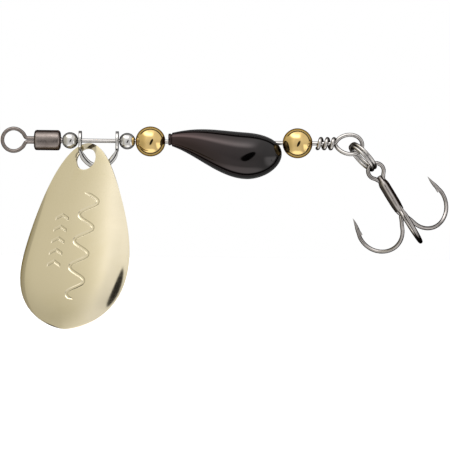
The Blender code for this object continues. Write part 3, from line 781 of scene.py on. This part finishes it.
def makeShaft():
    half = wire["thickness"] / 2
    headX = (barrel["start"] + barrel["length"] - barrel["crimp"] - wire["headLength"]) * mm
    points = [Vector((headX + d * mm, 0, 0)) for d in (0, 0.04, 0.12, 0.45, 0.56, 0.6)]
    head = wire["head"] / 2 / half
    widths = [head * 0.6, head * 0.85, head, head, head * 0.85, 1.0]
    # the last straight point lies on the shaft's line, where the loop's curve takes over
    straight = (headX + (wire["headLength"] + 0.1) * mm, loopX - 0.54 * mm)
    route = [Vector((x, 0, 0)) for x in straight]
    loopSteps, leave = 90, 0.2
    route += [loopPoint(leave + (fullTurn - 2 * leave) * i / loopSteps) for i in range(loopSteps + 1)]
    reach = wire["thickness"] + wire["wrapGap"]
    steps = 36
    total = round(wire["wrapTurns"] * steps)
    for i in range(1, total + 1):
        turn = -math.pi / 2 + fullTurn * (i / steps + 0.05)
        x = loopX - wire["wrapPitch"] * mm * i / steps
        route.append(Vector((x, -reach * mm * math.sin(turn), reach * mm * math.cos(turn))))
    route = softened(evenly(route, wire["spacing"] * mm), 8)
    points += route[1:]
    widths += [1.0] * (len(points) - len(widths))
    widths[-1] = wire["nipped"]
    shaft = wireAlong(points, wire["thickness"] * mm, widths)
    settle(shaft, 45)
    finishPiece(shaft, "shaftWireWithLoop", "shaft", ["shaft_wire"], brightWire)


makeShaft()
print("shaft made")


def makeBall(node, name, body, material, segments):
    # a sphere loses its two caps, the holes are joined by a bore and the rims are eased
    low, high = (Vector(p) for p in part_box(node))
    middle = (low + high) / 2
    radius = (high.z - low.z) / 2
    bore = fit["bore"] / 2 * mm
    clearSelection()
    bpy.ops.mesh.primitive_uv_sphere_add(
        segments=segments,
        ring_count=segments // 2,
        radius=radius,
        location=middle,
        rotation=(0, math.pi / 2, 0),
    )
    ball = bpy.context.object
    bpy.ops.object.transform_apply(location=True, rotation=True, scale=True)

    def offAxis(v):
        return math.hypot(v.co.y - middle.y, v.co.z - middle.z)

    def onRim(e):
        first, second = e.verts
        level = abs(first.co.x - second.co.x) < near
        return level and all(abs(offAxis(v) - bore) < near for v in e.verts)

    near = 0.01 * mm
    pick(ball, "VERT", lambda v: offAxis(v) < bore * 0.98)
    bpy.ops.mesh.delete(type="VERT")
    endEdit()
    nearest = min(offAxis(v) for v in ball.data.vertices)
    for v in ball.data.vertices:
        away = offAxis(v)
        if away < nearest * 1.01:
            side = 1 if v.co.x > middle.x else -1
            v.co.y = middle.y + (v.co.y - middle.y) * bore / away
            v.co.z = middle.z + (v.co.z - middle.z) * bore / away
            v.co.x = middle.x + side * math.sqrt(radius**2 - bore**2)
    pick(ball, "EDGE", lambda e: e.is_boundary)
    bpy.ops.mesh.bridge_edge_loops()
    endEdit()
    closeUp(ball)
    pick(ball, "EDGE", onRim)
    bpy.ops.mesh.bevel(offset=0.05 * mm, segments=3, affect="EDGES")
    endEdit()
    settle(ball, 50)
    finishPiece(ball, name, body, [node], material)


makeBall("front_bead", "frontBead", "front_bead", nickel, 64)
makeBall("rear_bead", "rearBead", "rear_bead", nickel, 64)
makeBall("front_ball", "frontGoldBall", "front_ball", gold, 96)
makeBall("rear_ball", "rearGoldBall", "rear_ball", gold, 96)
print("beads and balls made")


clevis = {
    "span": 5.55,
    "depth": 3.85,
    "strip": 0.95,
    "thickness": 0.48,
    "bow": 0.85,
    "ear": 3.0,
    "earTop": 14.0,
    "swing": -2.7,
    "around": 40,
    "foldPace": 7,
    "seam": 0.07,
    "seamWidth": 0.16,
}
clevisLow, clevisHigh = (Vector(p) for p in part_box("clevis"))
clevisMiddle = Vector(((clevisLow.x + clevisHigh.x) / 2, 0, 0))


def makeClevis():
    # a rounded section is extruded along the ears and the bow, and each ring is set in its place
    halfSpan = clevis["span"] / 2
    ear = clevis["ear"] / 2
    strip = clevis["strip"] / 2
    first = math.radians(clevis["earTop"])
    last = math.pi - math.asin(strip / ear)
    earSteps, bowSteps = 24, 60
    side = []
    for i in range(earSteps + 1):
        turn = first + (last - first) * i / earSteps
        side.append((-halfSpan, -ear * math.cos(turn), ear * math.sin(turn), 0.0))
    start = math.asin(min(1.0, side[-1][1] / clevis["depth"]))
    bow = []
    for i in range(1, bowSteps):
        turn = start + (math.pi - 2 * start) * i / bowSteps
        across = -halfSpan * math.cos(turn) / math.cos(start)
        folded = smoothStep(clevis["foldPace"] * min(i, bowSteps - i) / bowSteps)
        bow.append((across, clevis["depth"] * math.sin(turn), strip, folded))
    rows = side + bow + [(-x, down, wide, folded) for x, down, wide, folded in reversed(side)]
    made = stackRings(clevis["around"], len(rows) - 1)
    for v in made.data.vertices:
        i = round(v.co.z)
        across, down, wide, folded = rows[i]
        ahead, behind = rows[min(i + 1, len(rows) - 1)], rows[max(i - 1, 0)]
        way = Vector((ahead[0] - behind[0], 0, behind[1] - ahead[1])).normalized()
        thick = (clevis["thickness"] + (clevis["bow"] - clevis["thickness"]) * folded) / 2
        square = 2 / (6 - 3 * folded)
        turn = math.atan2(v.co.y, v.co.x)
        wideShare = math.copysign(abs(math.cos(turn)) ** square, math.cos(turn))
        thickShare = math.copysign(abs(math.sin(turn)) ** square, math.sin(turn))
        # the fold leaves a shallow seam along the inside of the bow
        seam = clevis["seam"] * folded * math.exp(-((wideShare / clevis["seamWidth"]) ** 2))
        seam = seam if thickShare < 0 else 0.0
        out = Vector((-way.z, 0, way.x)) * (thick * thickShare + seam)
        v.co = (Vector((across, wide * wideShare, -down)) + out) * mm
    closeUp(made)
    easeEdges(made, 0.05, 2, 60)
    boreAlong(made, 0, 9)
    swung = Matrix.Rotation(-math.radians(clevis["swing"]), 4, "X")
    moveMesh(made, Matrix.Translation(clevisMiddle) @ swung)
    settle(made, 35)
    finishPiece(made, "foldedClevis", "clevis", ["clevis"], nickel)


makeClevis()
print("clevis made")


blade = {
    "length": 28.15,
    "width": 18.75,
    "thickness": 0.4,
    "dish": 1.1,
    "curl": 1.3,
    "curlPower": 6,
    "flatTop": 0.25,
    "fullness": 4.72,
    "tailPower": 0.62,
    "middle": 0.62,
    "hole": 3.4,
    "holeFromTop": 2.5,
    "hang": (-1.85, 0.36, -2.77),
    "yaw": 30.2,
    "lean": 14.5,
    "roll": 1.6,
    "around": 400,
    "rings": 96,
    "rim": 0.1,
}


def bladeHalfWidth(t):
    t = min(max(t, 0.0), 1.0)
    return math.sqrt(t) * (1 - t ** blade["fullness"]) ** blade["tailPower"]


def bladeOutline(count):
    widest = max(bladeHalfWidth(i / 2000) for i in range(2001))
    side = []
    for i in range(1201):
        t = (1 - math.cos(math.pi * i / 1200)) / 2
        side.append(Vector((blade["width"] / 2 * bladeHalfWidth(t) / widest, t * blade["length"])))
    loop = side + [Vector((-p.x, p.y)) for p in reversed(side[1:-1])]
    lengths = [0.0]
    for a, b in zip(loop, loop[1:] + loop[:1]):
        lengths.append(lengths[-1] + (b - a).length)
    out = []
    k = 0
    for i in range(count):
        want = lengths[-1] * i / count
        while lengths[k + 1] < want:
            k += 1
        t = (want - lengths[k]) / (lengths[k + 1] - lengths[k])
        out.append(loop[k].lerp(loop[(k + 1) % len(loop)], t))
    return out


def makeBlade():
    # a circle at the hole is extruded ring by ring out to the teardrop, then dished
    around, rings = blade["around"], blade["rings"]
    made = stackRings(around, rings, "NOTHING")
    outline = bladeOutline(around)
    middle = blade["middle"] * blade["length"]
    edge = []
    for p in bladeOutline(2400)[:1201]:
        edge.append((math.atan2(abs(p.x), middle - p.y), math.hypot(p.x, p.y - middle)))
    edge.sort()

    def edgeAt(across, down):
        turn = math.atan2(abs(across), middle - down)
        k = min(max(bisect.bisect_left(edge, (turn, 0.0)), 1), len(edge) - 1)
        (lowTurn, low), (highTurn, high) = edge[k - 1], edge[k]
        return low + (high - low) * (turn - lowTurn) / max(highTurn - lowTurn, 1e-9)

    def fallBack(across, down):
        reach = math.hypot(across, down - middle) / edgeAt(across, down)
        reach = min(reach, 1.0)
        full = blade["dish"] * reach**2 + blade["curl"] * reach ** blade["curlPower"]
        belly = smoothStep(down / middle)
        return full * (blade["flatTop"] + (1 - blade["flatTop"]) * belly)

    holeBack = fallBack(0, blade["holeFromTop"])
    for v in made.data.vertices:
        ringNumber = round(v.co.z)
        turn = math.atan2(v.co.x, v.co.y) % fullTurn
        k = round(turn / fullTurn * around) % around
        rim = outline[k]
        toRim = Vector((rim.x, rim.y - blade["holeFromTop"]))
        near = toRim.normalized() * blade["hole"] / 2
        place = near.lerp(toRim, (ringNumber / rings) ** 0.95)
        across, down = place.x, place.y + blade["holeFromTop"]
        back = fallBack(across, down) - holeBack
        v.co = Vector((across, back, -place.y)) * mm
    closeUp(made)
    useModifier(made, "SOLIDIFY", thickness=blade["thickness"] * mm, offset=0, use_even_offset=True)
    easeEdges(made, blade["rim"], 3, 50)
    # the face's own map, across and down the blade, carries the pressed motif
    face = made.data.uv_layers.new(name="bladeFace")
    for corner in made.data.loops:
        spot = made.data.vertices[corner.vertex_index].co / mm
        down = blade["holeFromTop"] - spot.z
        face.data[corner.index].uv = (spot.x / motif["map"] + 0.5, down / motif["map"])
    place = (
        Matrix.Translation(clevisMiddle + Vector(blade["hang"]) * mm)
        @ Matrix.Rotation(-math.radians(blade["yaw"]), 4, "Z")
        @ Matrix.Rotation(-math.radians(blade["lean"]), 4, "X")
        @ Matrix.Rotation(math.radians(blade["roll"]), 4, "Y")
    )
    moveMesh(made, place)
    settle(made, 60)
    finishPiece(made, "dishedBlade", "blade", ["blade"], champagne)


makeBlade()
print("blade made")


weight = {
    "length": 17.05,
    "diameter": 7.0,
    "nose": 1.76,
    "noseLip": 0.45,
    "noseGroove": 0.08,
    "tailLength": 5.57,
    "noseRise": 0.34,
    "sink": 2.33,
    "sinkLength": 12.3,
    "tailRise": 0.34,
    "swellPower": 1.16,
}


def weightRadius(x):
    full, nose = weight["diameter"] / 2, weight["nose"] / 2
    swellEnd = weight["length"] - weight["tailLength"]
    if x > swellEnd:
        return full * math.sqrt(max(0.0, 1 - ((x - swellEnd) / weight["tailLength"]) ** 2))
    return nose + (full - nose) * math.sin(math.pi / 2 * x / swellEnd) ** weight["swellPower"]


def weightCentre(x):
    sink = math.sin(math.pi / 2 * min(1.0, x / weight["sinkLength"])) ** 2
    past = max(0.0, x - weight["sinkLength"]) / (weight["length"] - weight["sinkLength"])
    return weight["noseRise"] - weight["sink"] * sink + weight["tailRise"] * past**2


def makeWeight():
    # a disc at the nose is extruded along the shaft, sized and dropped station by station
    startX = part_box("weight_body")[0][0]
    nose = weight["nose"] / 2
    lip, groove = weight["noseLip"], weight["noseGroove"]
    high = weightCentre(0)
    noseEnd = [
        (0.0, nose * 0.86),
        (0.03, nose * 0.94),
        (0.08, nose),
        (lip * 0.75, nose),
        (lip * 0.92, nose - groove * 0.7),
        (lip, nose - groove),
        (lip * 1.12, nose - groove * 0.8),
    ]
    stations = [(x, radius, high) for x, radius in noseEnd]
    count = 72
    for i in range(count):
        t = (1 - math.cos(math.pi * (i + 0.5) / count)) / 2
        x = lip * 1.3 + (weight["length"] - lip * 1.3) * t
        stations.append((x, weightRadius(x), weightCentre(x)))
    clearSelection()
    x, radius, height = stations[0]
    bpy.ops.mesh.primitive_circle_add(
        vertices=96,
        radius=radius * mm,
        fill_type="NGON",
        location=(startX + x * mm, 0, height * mm),
        rotation=(0, math.pi / 2, 0),
    )
    made = bpy.context.object
    bpy.ops.object.transform_apply(location=True, rotation=True, scale=True)
    startEdit(made, "FACE")
    bpy.ops.mesh.select_all(action="SELECT")
    for nextX, nextRadius, nextHeight in stations[1:]:
        step = Vector((nextX - x, 0, nextHeight - height)) * mm
        bpy.ops.mesh.extrude_region_move(TRANSFORM_OT_translate={"value": step})
        grow = nextRadius / radius
        bpy.ops.transform.resize(
            value=(1, grow, grow), center_override=(startX + nextX * mm, 0, nextHeight * mm)
        )
        x, radius, height = nextX, nextRadius, nextHeight
    endEdit()
    closeUp(made)
    boreAlong(made, startX + weight["length"] / 2 * mm, weight["length"] * 1.4)
    settle(made, 40)
    finishPiece(made, "teardropWeight", "weight_body", ["weight_body"], blackNickel)


makeWeight()
print("weight made")


splitRing = {
    "wire": 0.5,
    "outer": 5.35,
    "coilGap": 0.03,
    "step": 44.0,
    "endGap": 4.0,
    "direction": -46.5,
    "tilt": -10.5,
    "play": 0.2,
    "hookPlay": 0.68,
    "fromLoopEnd": 1.72,
    "firstAt": 206.0,
}
loopMiddle = Vector((loopX + (wire["loopLength"] - splitRing["fromLoopEnd"]) * mm, 0, 0))
splitMean = (splitRing["outer"] - splitRing["wire"]) / 2
splitAim = math.radians(splitRing["direction"])
splitReach = Vector((math.cos(splitAim), 0, math.sin(splitAim)))


def makeSplitRing():
    half = splitRing["wire"] / 2
    layer = half + splitRing["coilGap"] / 2
    step, gap = math.radians(splitRing["step"]), math.radians(splitRing["endGap"])
    firstEnd = fullTurn - step - gap
    last = 2 * firstEnd + step
    points = []
    steps = 360
    for i in range(steps + 1):
        turn = last * i / steps
        climb = smoothStep((turn - firstEnd) / step)
        spot = turn + math.radians(splitRing["firstAt"])
        points.append(
            Vector((splitMean * math.cos(spot), splitMean * math.sin(spot), layer * (2 * climb - 1))) * mm
        )
    widths = [0.8] + [1.0] * (len(points) - 2) + [0.8]
    made = wireAlong(points, splitRing["wire"] * mm, widths)
    middle = loopMiddle + splitReach * (splitMean + splitRing["play"]) * mm
    tilted = Matrix.Rotation(math.radians(splitRing["tilt"]), 4, "X")
    moveMesh(made, Matrix.Translation(middle) @ Matrix.Rotation(-splitAim, 4, "Y") @ tilted)
    settle(made, 45)
    finishPiece(made, "doubleSplitRing", "split_ring", ["split_ring"], brightWire)


makeSplitRing()
print("split ring made")


hook = {
    "wire": 0.62,
    "eye": 3.0,
    "shankGap": 0.04,
    "length": 13.65,
    "bend": 3.75,
    "spread": 0.52,
    "lowerExtra": 0.5,
    "point": 3.1,
    "taper": 1.7,
    "lean": 2.5,
    "flare": 1.6,
    "barb": 1.4,
    "barbHeight": 0.25,
    "barbWidth": 0.24,
    "barbFrom": 1.5,
    "eyeLeave": 34.0,
    "brazeStart": 1.75,
    "brazeLength": 5.2,
    "intoEye": 0.85,
    "direction": -57.75,
    "tilt": 8.0,
    "spacing": 0.08,
    "shankSteps": 12,
    "bendSteps": 48,
    "pointSteps": 32,
    "settleFrom": 44,
    "settleOver": 46,
}
doubleFlare = hook["flare"] * 1.6
hookPlace = (
    Matrix.Translation(loopMiddle + splitReach * (2 * splitMean + splitRing["hookPlay"]) * mm)
    @ Matrix.Rotation(-math.radians(hook["direction"]), 4, "Y")
    @ Matrix.Rotation(math.radians(hook["tilt"]), 4, "Z")
)
thirdWay = Vector((0, -1, 0))
thirdTurn = Matrix.Rotation(math.radians(120), 3, "X")
upperWay, lowerWay = thirdTurn @ thirdWay, thirdTurn.transposed() @ thirdWay
beside = (hook["wire"] + hook["shankGap"]) / 2
lowSide = beside / math.sqrt(3)
upperSpot = Vector((0, lowSide, beside))
lowerSpot = Vector((0, lowSide, -beside))
thirdSpot = Vector((0, -2 * lowSide, 0))
brazeEnd = hook["brazeStart"] + hook["brazeLength"]


def hookSide(outward, spot, flare, extra=0.0):
    # one hook from the end of the braze to its point, in millimetres
    half = hook["wire"] / 2
    centreX = hook["length"] - hook["eye"] / 2 - half - hook["bend"] + extra
    centreR = hook["bend"] + beside + hook["spread"]
    route = []
    for i in range(1, hook["shankSteps"] + 1):
        t = i / hook["shankSteps"]
        x = brazeEnd + (centreX - brazeEnd) * t
        route.append((x, beside + (centreR - hook["bend"] - beside) * smoothStep(t)))
    for i in range(1, hook["bendSteps"] + 1):
        turn = math.pi * i / hook["bendSteps"]
        route.append((centreX + hook["bend"] * math.sin(turn), centreR - hook["bend"] * math.cos(turn)))
    endX, endR = route[-1]
    widths = [1.0] * len(route)
    for i in range(1, hook["pointSteps"] + 1):
        along = hook["point"] * i / hook["pointSteps"]
        route.append((endX - along, endR - math.tan(math.radians(hook["lean"])) * along))
        left = (hook["point"] - along) / hook["taper"]
        widths.append(max(0.05, min(1.0, left) ** 0.8))
    points = []
    shift = spot - outward * beside
    for i, (x, r) in enumerate(route):
        # the shanks start beside each other, and the points lean back the same way
        if i > hook["settleFrom"]:
            fade = smoothStep((i - hook["settleFrom"]) / hook["settleOver"])
        else:
            fade = 1 - smoothStep((x - route[0][0]) / flare)
        points.append(Vector((x, 0, 0)) + outward * r + shift * fade)
    return points, widths


def addBarb(made, outward, spot, flare, extra=0.0):
    # a sliver is lifted off the inside of the point: a wedge with a sharp free end
    half = hook["wire"] / 2
    points = hookSide(outward, spot, flare, extra)[0]
    side = Vector((1, 0, 0)).cross(-outward)

    def besidePoint(back, depth):
        k = len(points) - 1 - back / hook["point"] * hook["pointSteps"]
        low = int(k)
        return points[low].lerp(points[low + 1], k - low) - outward * depth

    footBack = hook["barbFrom"] + hook["barb"]
    root = besidePoint(hook["barbFrom"], half / 2)
    foot = besidePoint(footBack, half / 2)
    peak = besidePoint(footBack - hook["barbHeight"] / 3, half + hook["barbHeight"])
    clearSelection()
    bpy.ops.mesh.primitive_cube_add(size=1.0)
    wedge = bpy.context.object
    for v in wedge.data.vertices:
        sign = 1 if v.co.y > 0 else -1
        if v.co.z > 0:
            shift = 0.03 if v.co.x > 0 else -0.03
            spotNow, wide = peak + Vector((shift, 0, 0)), 0.2
        else:
            spotNow, wide = (foot if v.co.x > 0 else root), 0.5
        v.co = (spotNow + side * sign * wide * hook["barbWidth"]) * mm
    closeUp(wedge)
    useModifier(wedge, "BEVEL", width=0.02 * mm, segments=2, limit_method="NONE")
    cutWith(made, wedge, "UNION")


def makeDoubleHook():
    half = hook["wire"] / 2
    mean = hook["eye"] / 2 - half
    upper, upperWidths = hookSide(upperWay, upperSpot, doubleFlare)
    lower, lowerWidths = hookSide(lowerWay, lowerSpot, doubleFlare, hook["lowerExtra"])
    shankStart = hook["brazeStart"] - 0.1
    leave = math.radians(hook["eyeLeave"])
    eye = []
    eyeSteps = 72
    for i in range(eyeSteps + 1):
        turn = leave + (fullTurn - 2 * leave) * i / eyeSteps
        eye.append(Vector((mean * math.cos(turn), 0, mean * math.sin(turn))))
    into = [Vector((brazeEnd, lowSide, beside)), Vector((shankStart, lowSide, beside))]
    first = eye[0]
    for i in range(1, 10):
        t = 1 - i / 10
        x = first.x + (shankStart - first.x) * t
        z = first.z + (beside - first.z) * smoothStep(t)
        into.append(Vector((x, lowSide * smoothStep(t), z)))
    out = [Vector((p.x, p.y, -p.z)) for p in reversed(into)]
    middle = softened(evenly(into + eye + out, hook["spacing"]), 6)
    points = list(reversed(upper)) + middle + lower
    widths = list(reversed(upperWidths)) + [1.0] * len(middle) + lowerWidths
    made = wireAlong([p * mm for p in points], hook["wire"] * mm, widths)
    addBarb(made, upperWay, upperSpot, doubleFlare)
    addBarb(made, lowerWay, lowerSpot, doubleFlare, hook["lowerExtra"])
    moveMesh(made, hookPlace)
    settle(made, 45)
    finishPiece(made, "doubleHookAndEye", "treble_hook", ["double_hook"], tinned)


def makeThirdHook():
    points, widths = hookSide(thirdWay, thirdSpot, hook["flare"])
    start = hook["brazeStart"]
    shank = [Vector((x, thirdSpot.y, 0)) for x in (start - 0.05, start, 4.0, brazeEnd)]
    points = shank + points
    widths = [0.85, 1.0, 1.0, 1.0] + widths
    made = wireAlong([p * mm for p in points], hook["wire"] * mm, widths)
    addBarb(made, thirdWay, thirdSpot, hook["flare"])
    moveMesh(made, hookPlace)
    settle(made, 45)
    finishPiece(made, "thirdHook", "treble_hook", ["third_hook"], tinned)


def makeBraze():
    # the tin that has flowed round the three shanks, thicker in the grooves and drawn out at both ends
    reach = hook["wire"] / 2 + 0.16
    corners = []
    for spot in (upperSpot, thirdSpot, lowerSpot):
        facing = math.atan2(spot.z, spot.y)
        for i in range(17):
            turn = facing + math.radians(120 * i / 16 - 60)
            corners.append((spot.y + reach * math.cos(turn), spot.z + reach * math.sin(turn)))
    steps = 60
    made = stackRings(len(corners), steps)
    front = hook["brazeStart"] - hook["intoEye"]
    length = hook["brazeLength"] + hook["intoEye"]
    for v in made.data.vertices:
        i = round(v.co.z)
        turn = math.atan2(v.co.y, v.co.x) % fullTurn
        k = round(turn / fullTurn * len(corners)) % len(corners)
        t = i / steps
        y, z = corners[k]
        # it starts as a narrow web in the fork under the eye and swells to a full skin
        swell = 0.38 + 0.62 * smoothStep(length * t / 1.6)
        thin = 1 - 0.1 * smoothStep(1 - length * (1 - t) / 1.2)
        size = swell * thin + 0.012 * math.sin(9 * t + 2 * turn)
        v.co = Vector((front + length * t, y * size, z * size)) * mm
    closeUp(made)
    useModifier(made, "SMOOTH", factor=0.5, iterations=3)
    moveMesh(made, hookPlace)
    settle(made, 50)
    finishPiece(made, "flowedBraze", "treble_hook", ["hook_braze"], braze)


makeDoubleHook()
makeThirdHook()
makeBraze()
print("hook made")


studio = {
    "floor": -50.0,
    "white": 0.92,
    "lift": 0.3,
    "middle": (31.86, -12.39),
    "width": 67.5,
    "lens": 250.0,
    "sensor": 36.0,
    "roll": -0.72,
}


def makeFloor():
    clearSelection()
    bpy.ops.mesh.primitive_plane_add(size=6.0, location=(0.03, 0, studio["floor"] * mm))
    floor = bpy.context.object
    floor.name = "studioFloor"
    bpy.ops.object.transform_apply(location=True, rotation=True, scale=True)
    material = bpy.data.materials.new("paleFloor")
    material.use_nodes = True
    tree = material.node_tree
    tree.nodes.remove(tree.nodes["Principled BSDF"])
    matt = addNode(tree, "ShaderNodeBsdfDiffuse", Color=(studio["white"],) * 3 + (1,))
    seen = addNode(tree, "ShaderNodeLightPath").outputs["Is Camera Ray"]
    lifted = addNode(tree, "ShaderNodeCombineXYZ")
    share = math1(tree, "MULTIPLY", seen, studio["lift"])
    for socket in lifted.inputs:
        tree.links.new(share, socket)
    plain = addNode(tree, "ShaderNodeEmission", Color=lifted.outputs[0], Strength=1.0)
    both = addNode(tree, "ShaderNodeAddShader", i0=matt.outputs[0], i1=plain.outputs[0])
    tree.links.new(both.outputs[0], tree.nodes["Material Output"].inputs["Surface"])
    floor.data.materials.append(material)
    floor.visible_glossy = False


tent = {
    "left": 0.64,
    "low": 0.78,
    "right": 0.84,
    "softbox": 2.1,
    "underBoard": 0.75,
    "sideBoard": 0.9,
    "gap": 0.07,
    "wall": 0.72,
    "wallMiddle": 0.3,
    "room": 0.86,
    "stand": 0.03,
    "standLean": 0.4,
    "tint": (1.0, 0.99, 0.985, 1),
    "leftTint": (1.0, 0.965, 0.83, 1),
}


def makeWorld():
    # the walls are defined by direction alone, so that they stay put in every view
    world = bpy.data.worlds.new("softTent")
    bpy.context.scene.world = world
    world.use_nodes = True
    tree = world.node_tree
    tree.nodes.clear()
    way = addNode(tree, "ShaderNodeTexCoord").outputs["Generated"]
    split = addNode(tree, "ShaderNodeSeparateXYZ", Vector=way)
    right, back, up = split.outputs

    def ramp(value, low, high, fromValue=0.0, toValue=1.0):
        return remap(tree, value, low, high, fromValue, toValue)

    def band(value, low, high, soft):
        rise = ramp(value, low - soft, low + soft)
        fall = ramp(value, high - soft, high + soft, 1.0, 0.0)
        return math1(tree, "MULTIPLY", rise, fall)

    def times(*values):
        out = values[0]
        for value in values[1:]:
            out = math1(tree, "MULTIPLY", out, value)
        return out

    def less(mask, left):
        # 1 outside the mask, left inside it
        return ramp(mask, 0.0, 1.0, 1.0, left)

    def lit(level, mask, extra):
        return math1(tree, "ADD", level, math1(tree, "MULTIPLY", mask, extra))

    def squared(value, middle, half):
        share = math1(tree, "DIVIDE", math1(tree, "SUBTRACT", value, middle), half)
        return math1(tree, "MULTIPLY", share, share)

    # the left side is dimmer, and the light fades downwards
    level = times(ramp(right, -0.95, -0.42, tent["left"], 1.0), ramp(up, -0.5, 0.45, tent["low"], 1.0))
    level = times(level, ramp(right, 0.2, 0.7, 1.0, tent["right"]))
    front = ramp(back, 0.0, 0.16, 1.0, 0.0)
    softbox = times(band(up, 0.67, 0.92, 0.14), band(right, -0.66, 0.24, 0.2), front)
    level = lit(level, softbox, tent["softbox"])
    # two pale boards: one under the front, one low on the right
    under = times(ramp(up, -0.80, -0.95), band(back, -0.5, 0.12, 0.06))
    level = lit(level, under, tent["underBoard"])
    lowRight = times(ramp(right, 0.62, 0.80), band(up, -0.75, -0.15, 0.12), front)
    level = lit(level, lowRight, tent["sideBoard"])
    # a dark gap between the front lights and the wall behind, closed at the far left
    gap = times(band(back, 0.18, 0.42, 0.03), ramp(right, -0.84, -0.72))
    level = times(level, less(gap, tent["gap"]))
    level = times(level, less(ramp(back, 0.42, 0.55), tent["wall"]))
    level = times(level, less(ramp(back, 0.90, 0.97), tent["wallMiddle"]))
    # the dim front of the room and the leaning stand in it
    level = times(level, less(ramp(back, -0.72, -0.99), tent["room"]))
    upright = math1(tree, "SUBTRACT", right, math1(tree, "MULTIPLY", up, tent["standLean"]))
    away = math1(tree, "ADD", squared(upright, 0.165, 0.17), squared(up, -0.08, 0.40))
    stand = times(ramp(away, 1.25, 0.8), ramp(back, -0.7, -0.8))
    level = times(level, less(stand, tent["stand"]))
    tint = mixColours(tree, ramp(right, -0.95, -0.3), tent["leftTint"], tent["tint"])
    walls = addNode(tree, "ShaderNodeBackground", Color=tint, Strength=level)
    plain = addNode(tree, "ShaderNodeBackground", Color=(1, 1, 1, 1), Strength=1.0)
    seen = addNode(tree, "ShaderNodeLightPath").outputs["Is Camera Ray"]
    mixed = addNode(tree, "ShaderNodeMixShader", i0=seen, i1=walls.outputs[0], i2=plain.outputs[0])
    out = addNode(tree, "ShaderNodeOutputWorld")
    tree.links.new(mixed.outputs[0], out.inputs["Surface"])


lampLook = {
    "wide": 0.30,
    "deep": 0.22,
    "energy": 0.9,
    "place": (0.01, -0.08, 0.32),
    "aim": (0.033, 0, -0.05),
}


def makeLamp():
    # it only throws the shadow: the bright patch in the walls stands for it in reflections
    lampData = bpy.data.lights.new("overheadSoftbox", "AREA")
    lampData.shape = "RECTANGLE"
    lampData.size = lampLook["wide"]
    lampData.size_y = lampLook["deep"]
    lampData.energy = lampLook["energy"]
    lamp = bpy.data.objects.new("overheadSoftbox", lampData)
    bpy.context.scene.collection.objects.link(lamp)
    lamp.location = lampLook["place"]
    aim = Vector(lampLook["aim"]) - lamp.location
    lamp.rotation_euler = aim.to_track_quat("-Z", "Y").to_euler()
    lamp.visible_glossy = False
    lamp.visible_camera = False


def hideFromReflections(*names):
    # the dished blade would mirror these, close to its corner, as one large brown patch
    for name in names:
        bpy.data.objects[name].visible_glossy = False


def makeCamera():
    cameraData = bpy.data.cameras.new("productCamera")
    cameraData.lens = studio["lens"]
    cameraData.sensor_width = studio["sensor"]
    away = studio["width"] * mm * studio["lens"] / studio["sensor"]
    cameraData.clip_start = 0.01
    cameraData.clip_end = 100.0
    camera = bpy.data.objects.new("productCamera", cameraData)
    bpy.context.scene.collection.objects.link(camera)
    middleX, middleZ = studio["middle"]
    rolled = Matrix.Rotation(math.radians(studio["roll"]), 4, "Y")
    level = Matrix.Rotation(math.pi / 2, 4, "X")
    camera.matrix_world = Matrix.Translation((middleX * mm, -away, middleZ * mm)) @ rolled @ level
    bpy.context.scene.camera = camera


makeFloor()
makeWorld()
makeLamp()
hideFromReflections("crimpedBarrel", "ringOfDarkWire")
makeCamera()
bpy.context.scene.view_settings.view_transform = "Standard"
print("studio made")
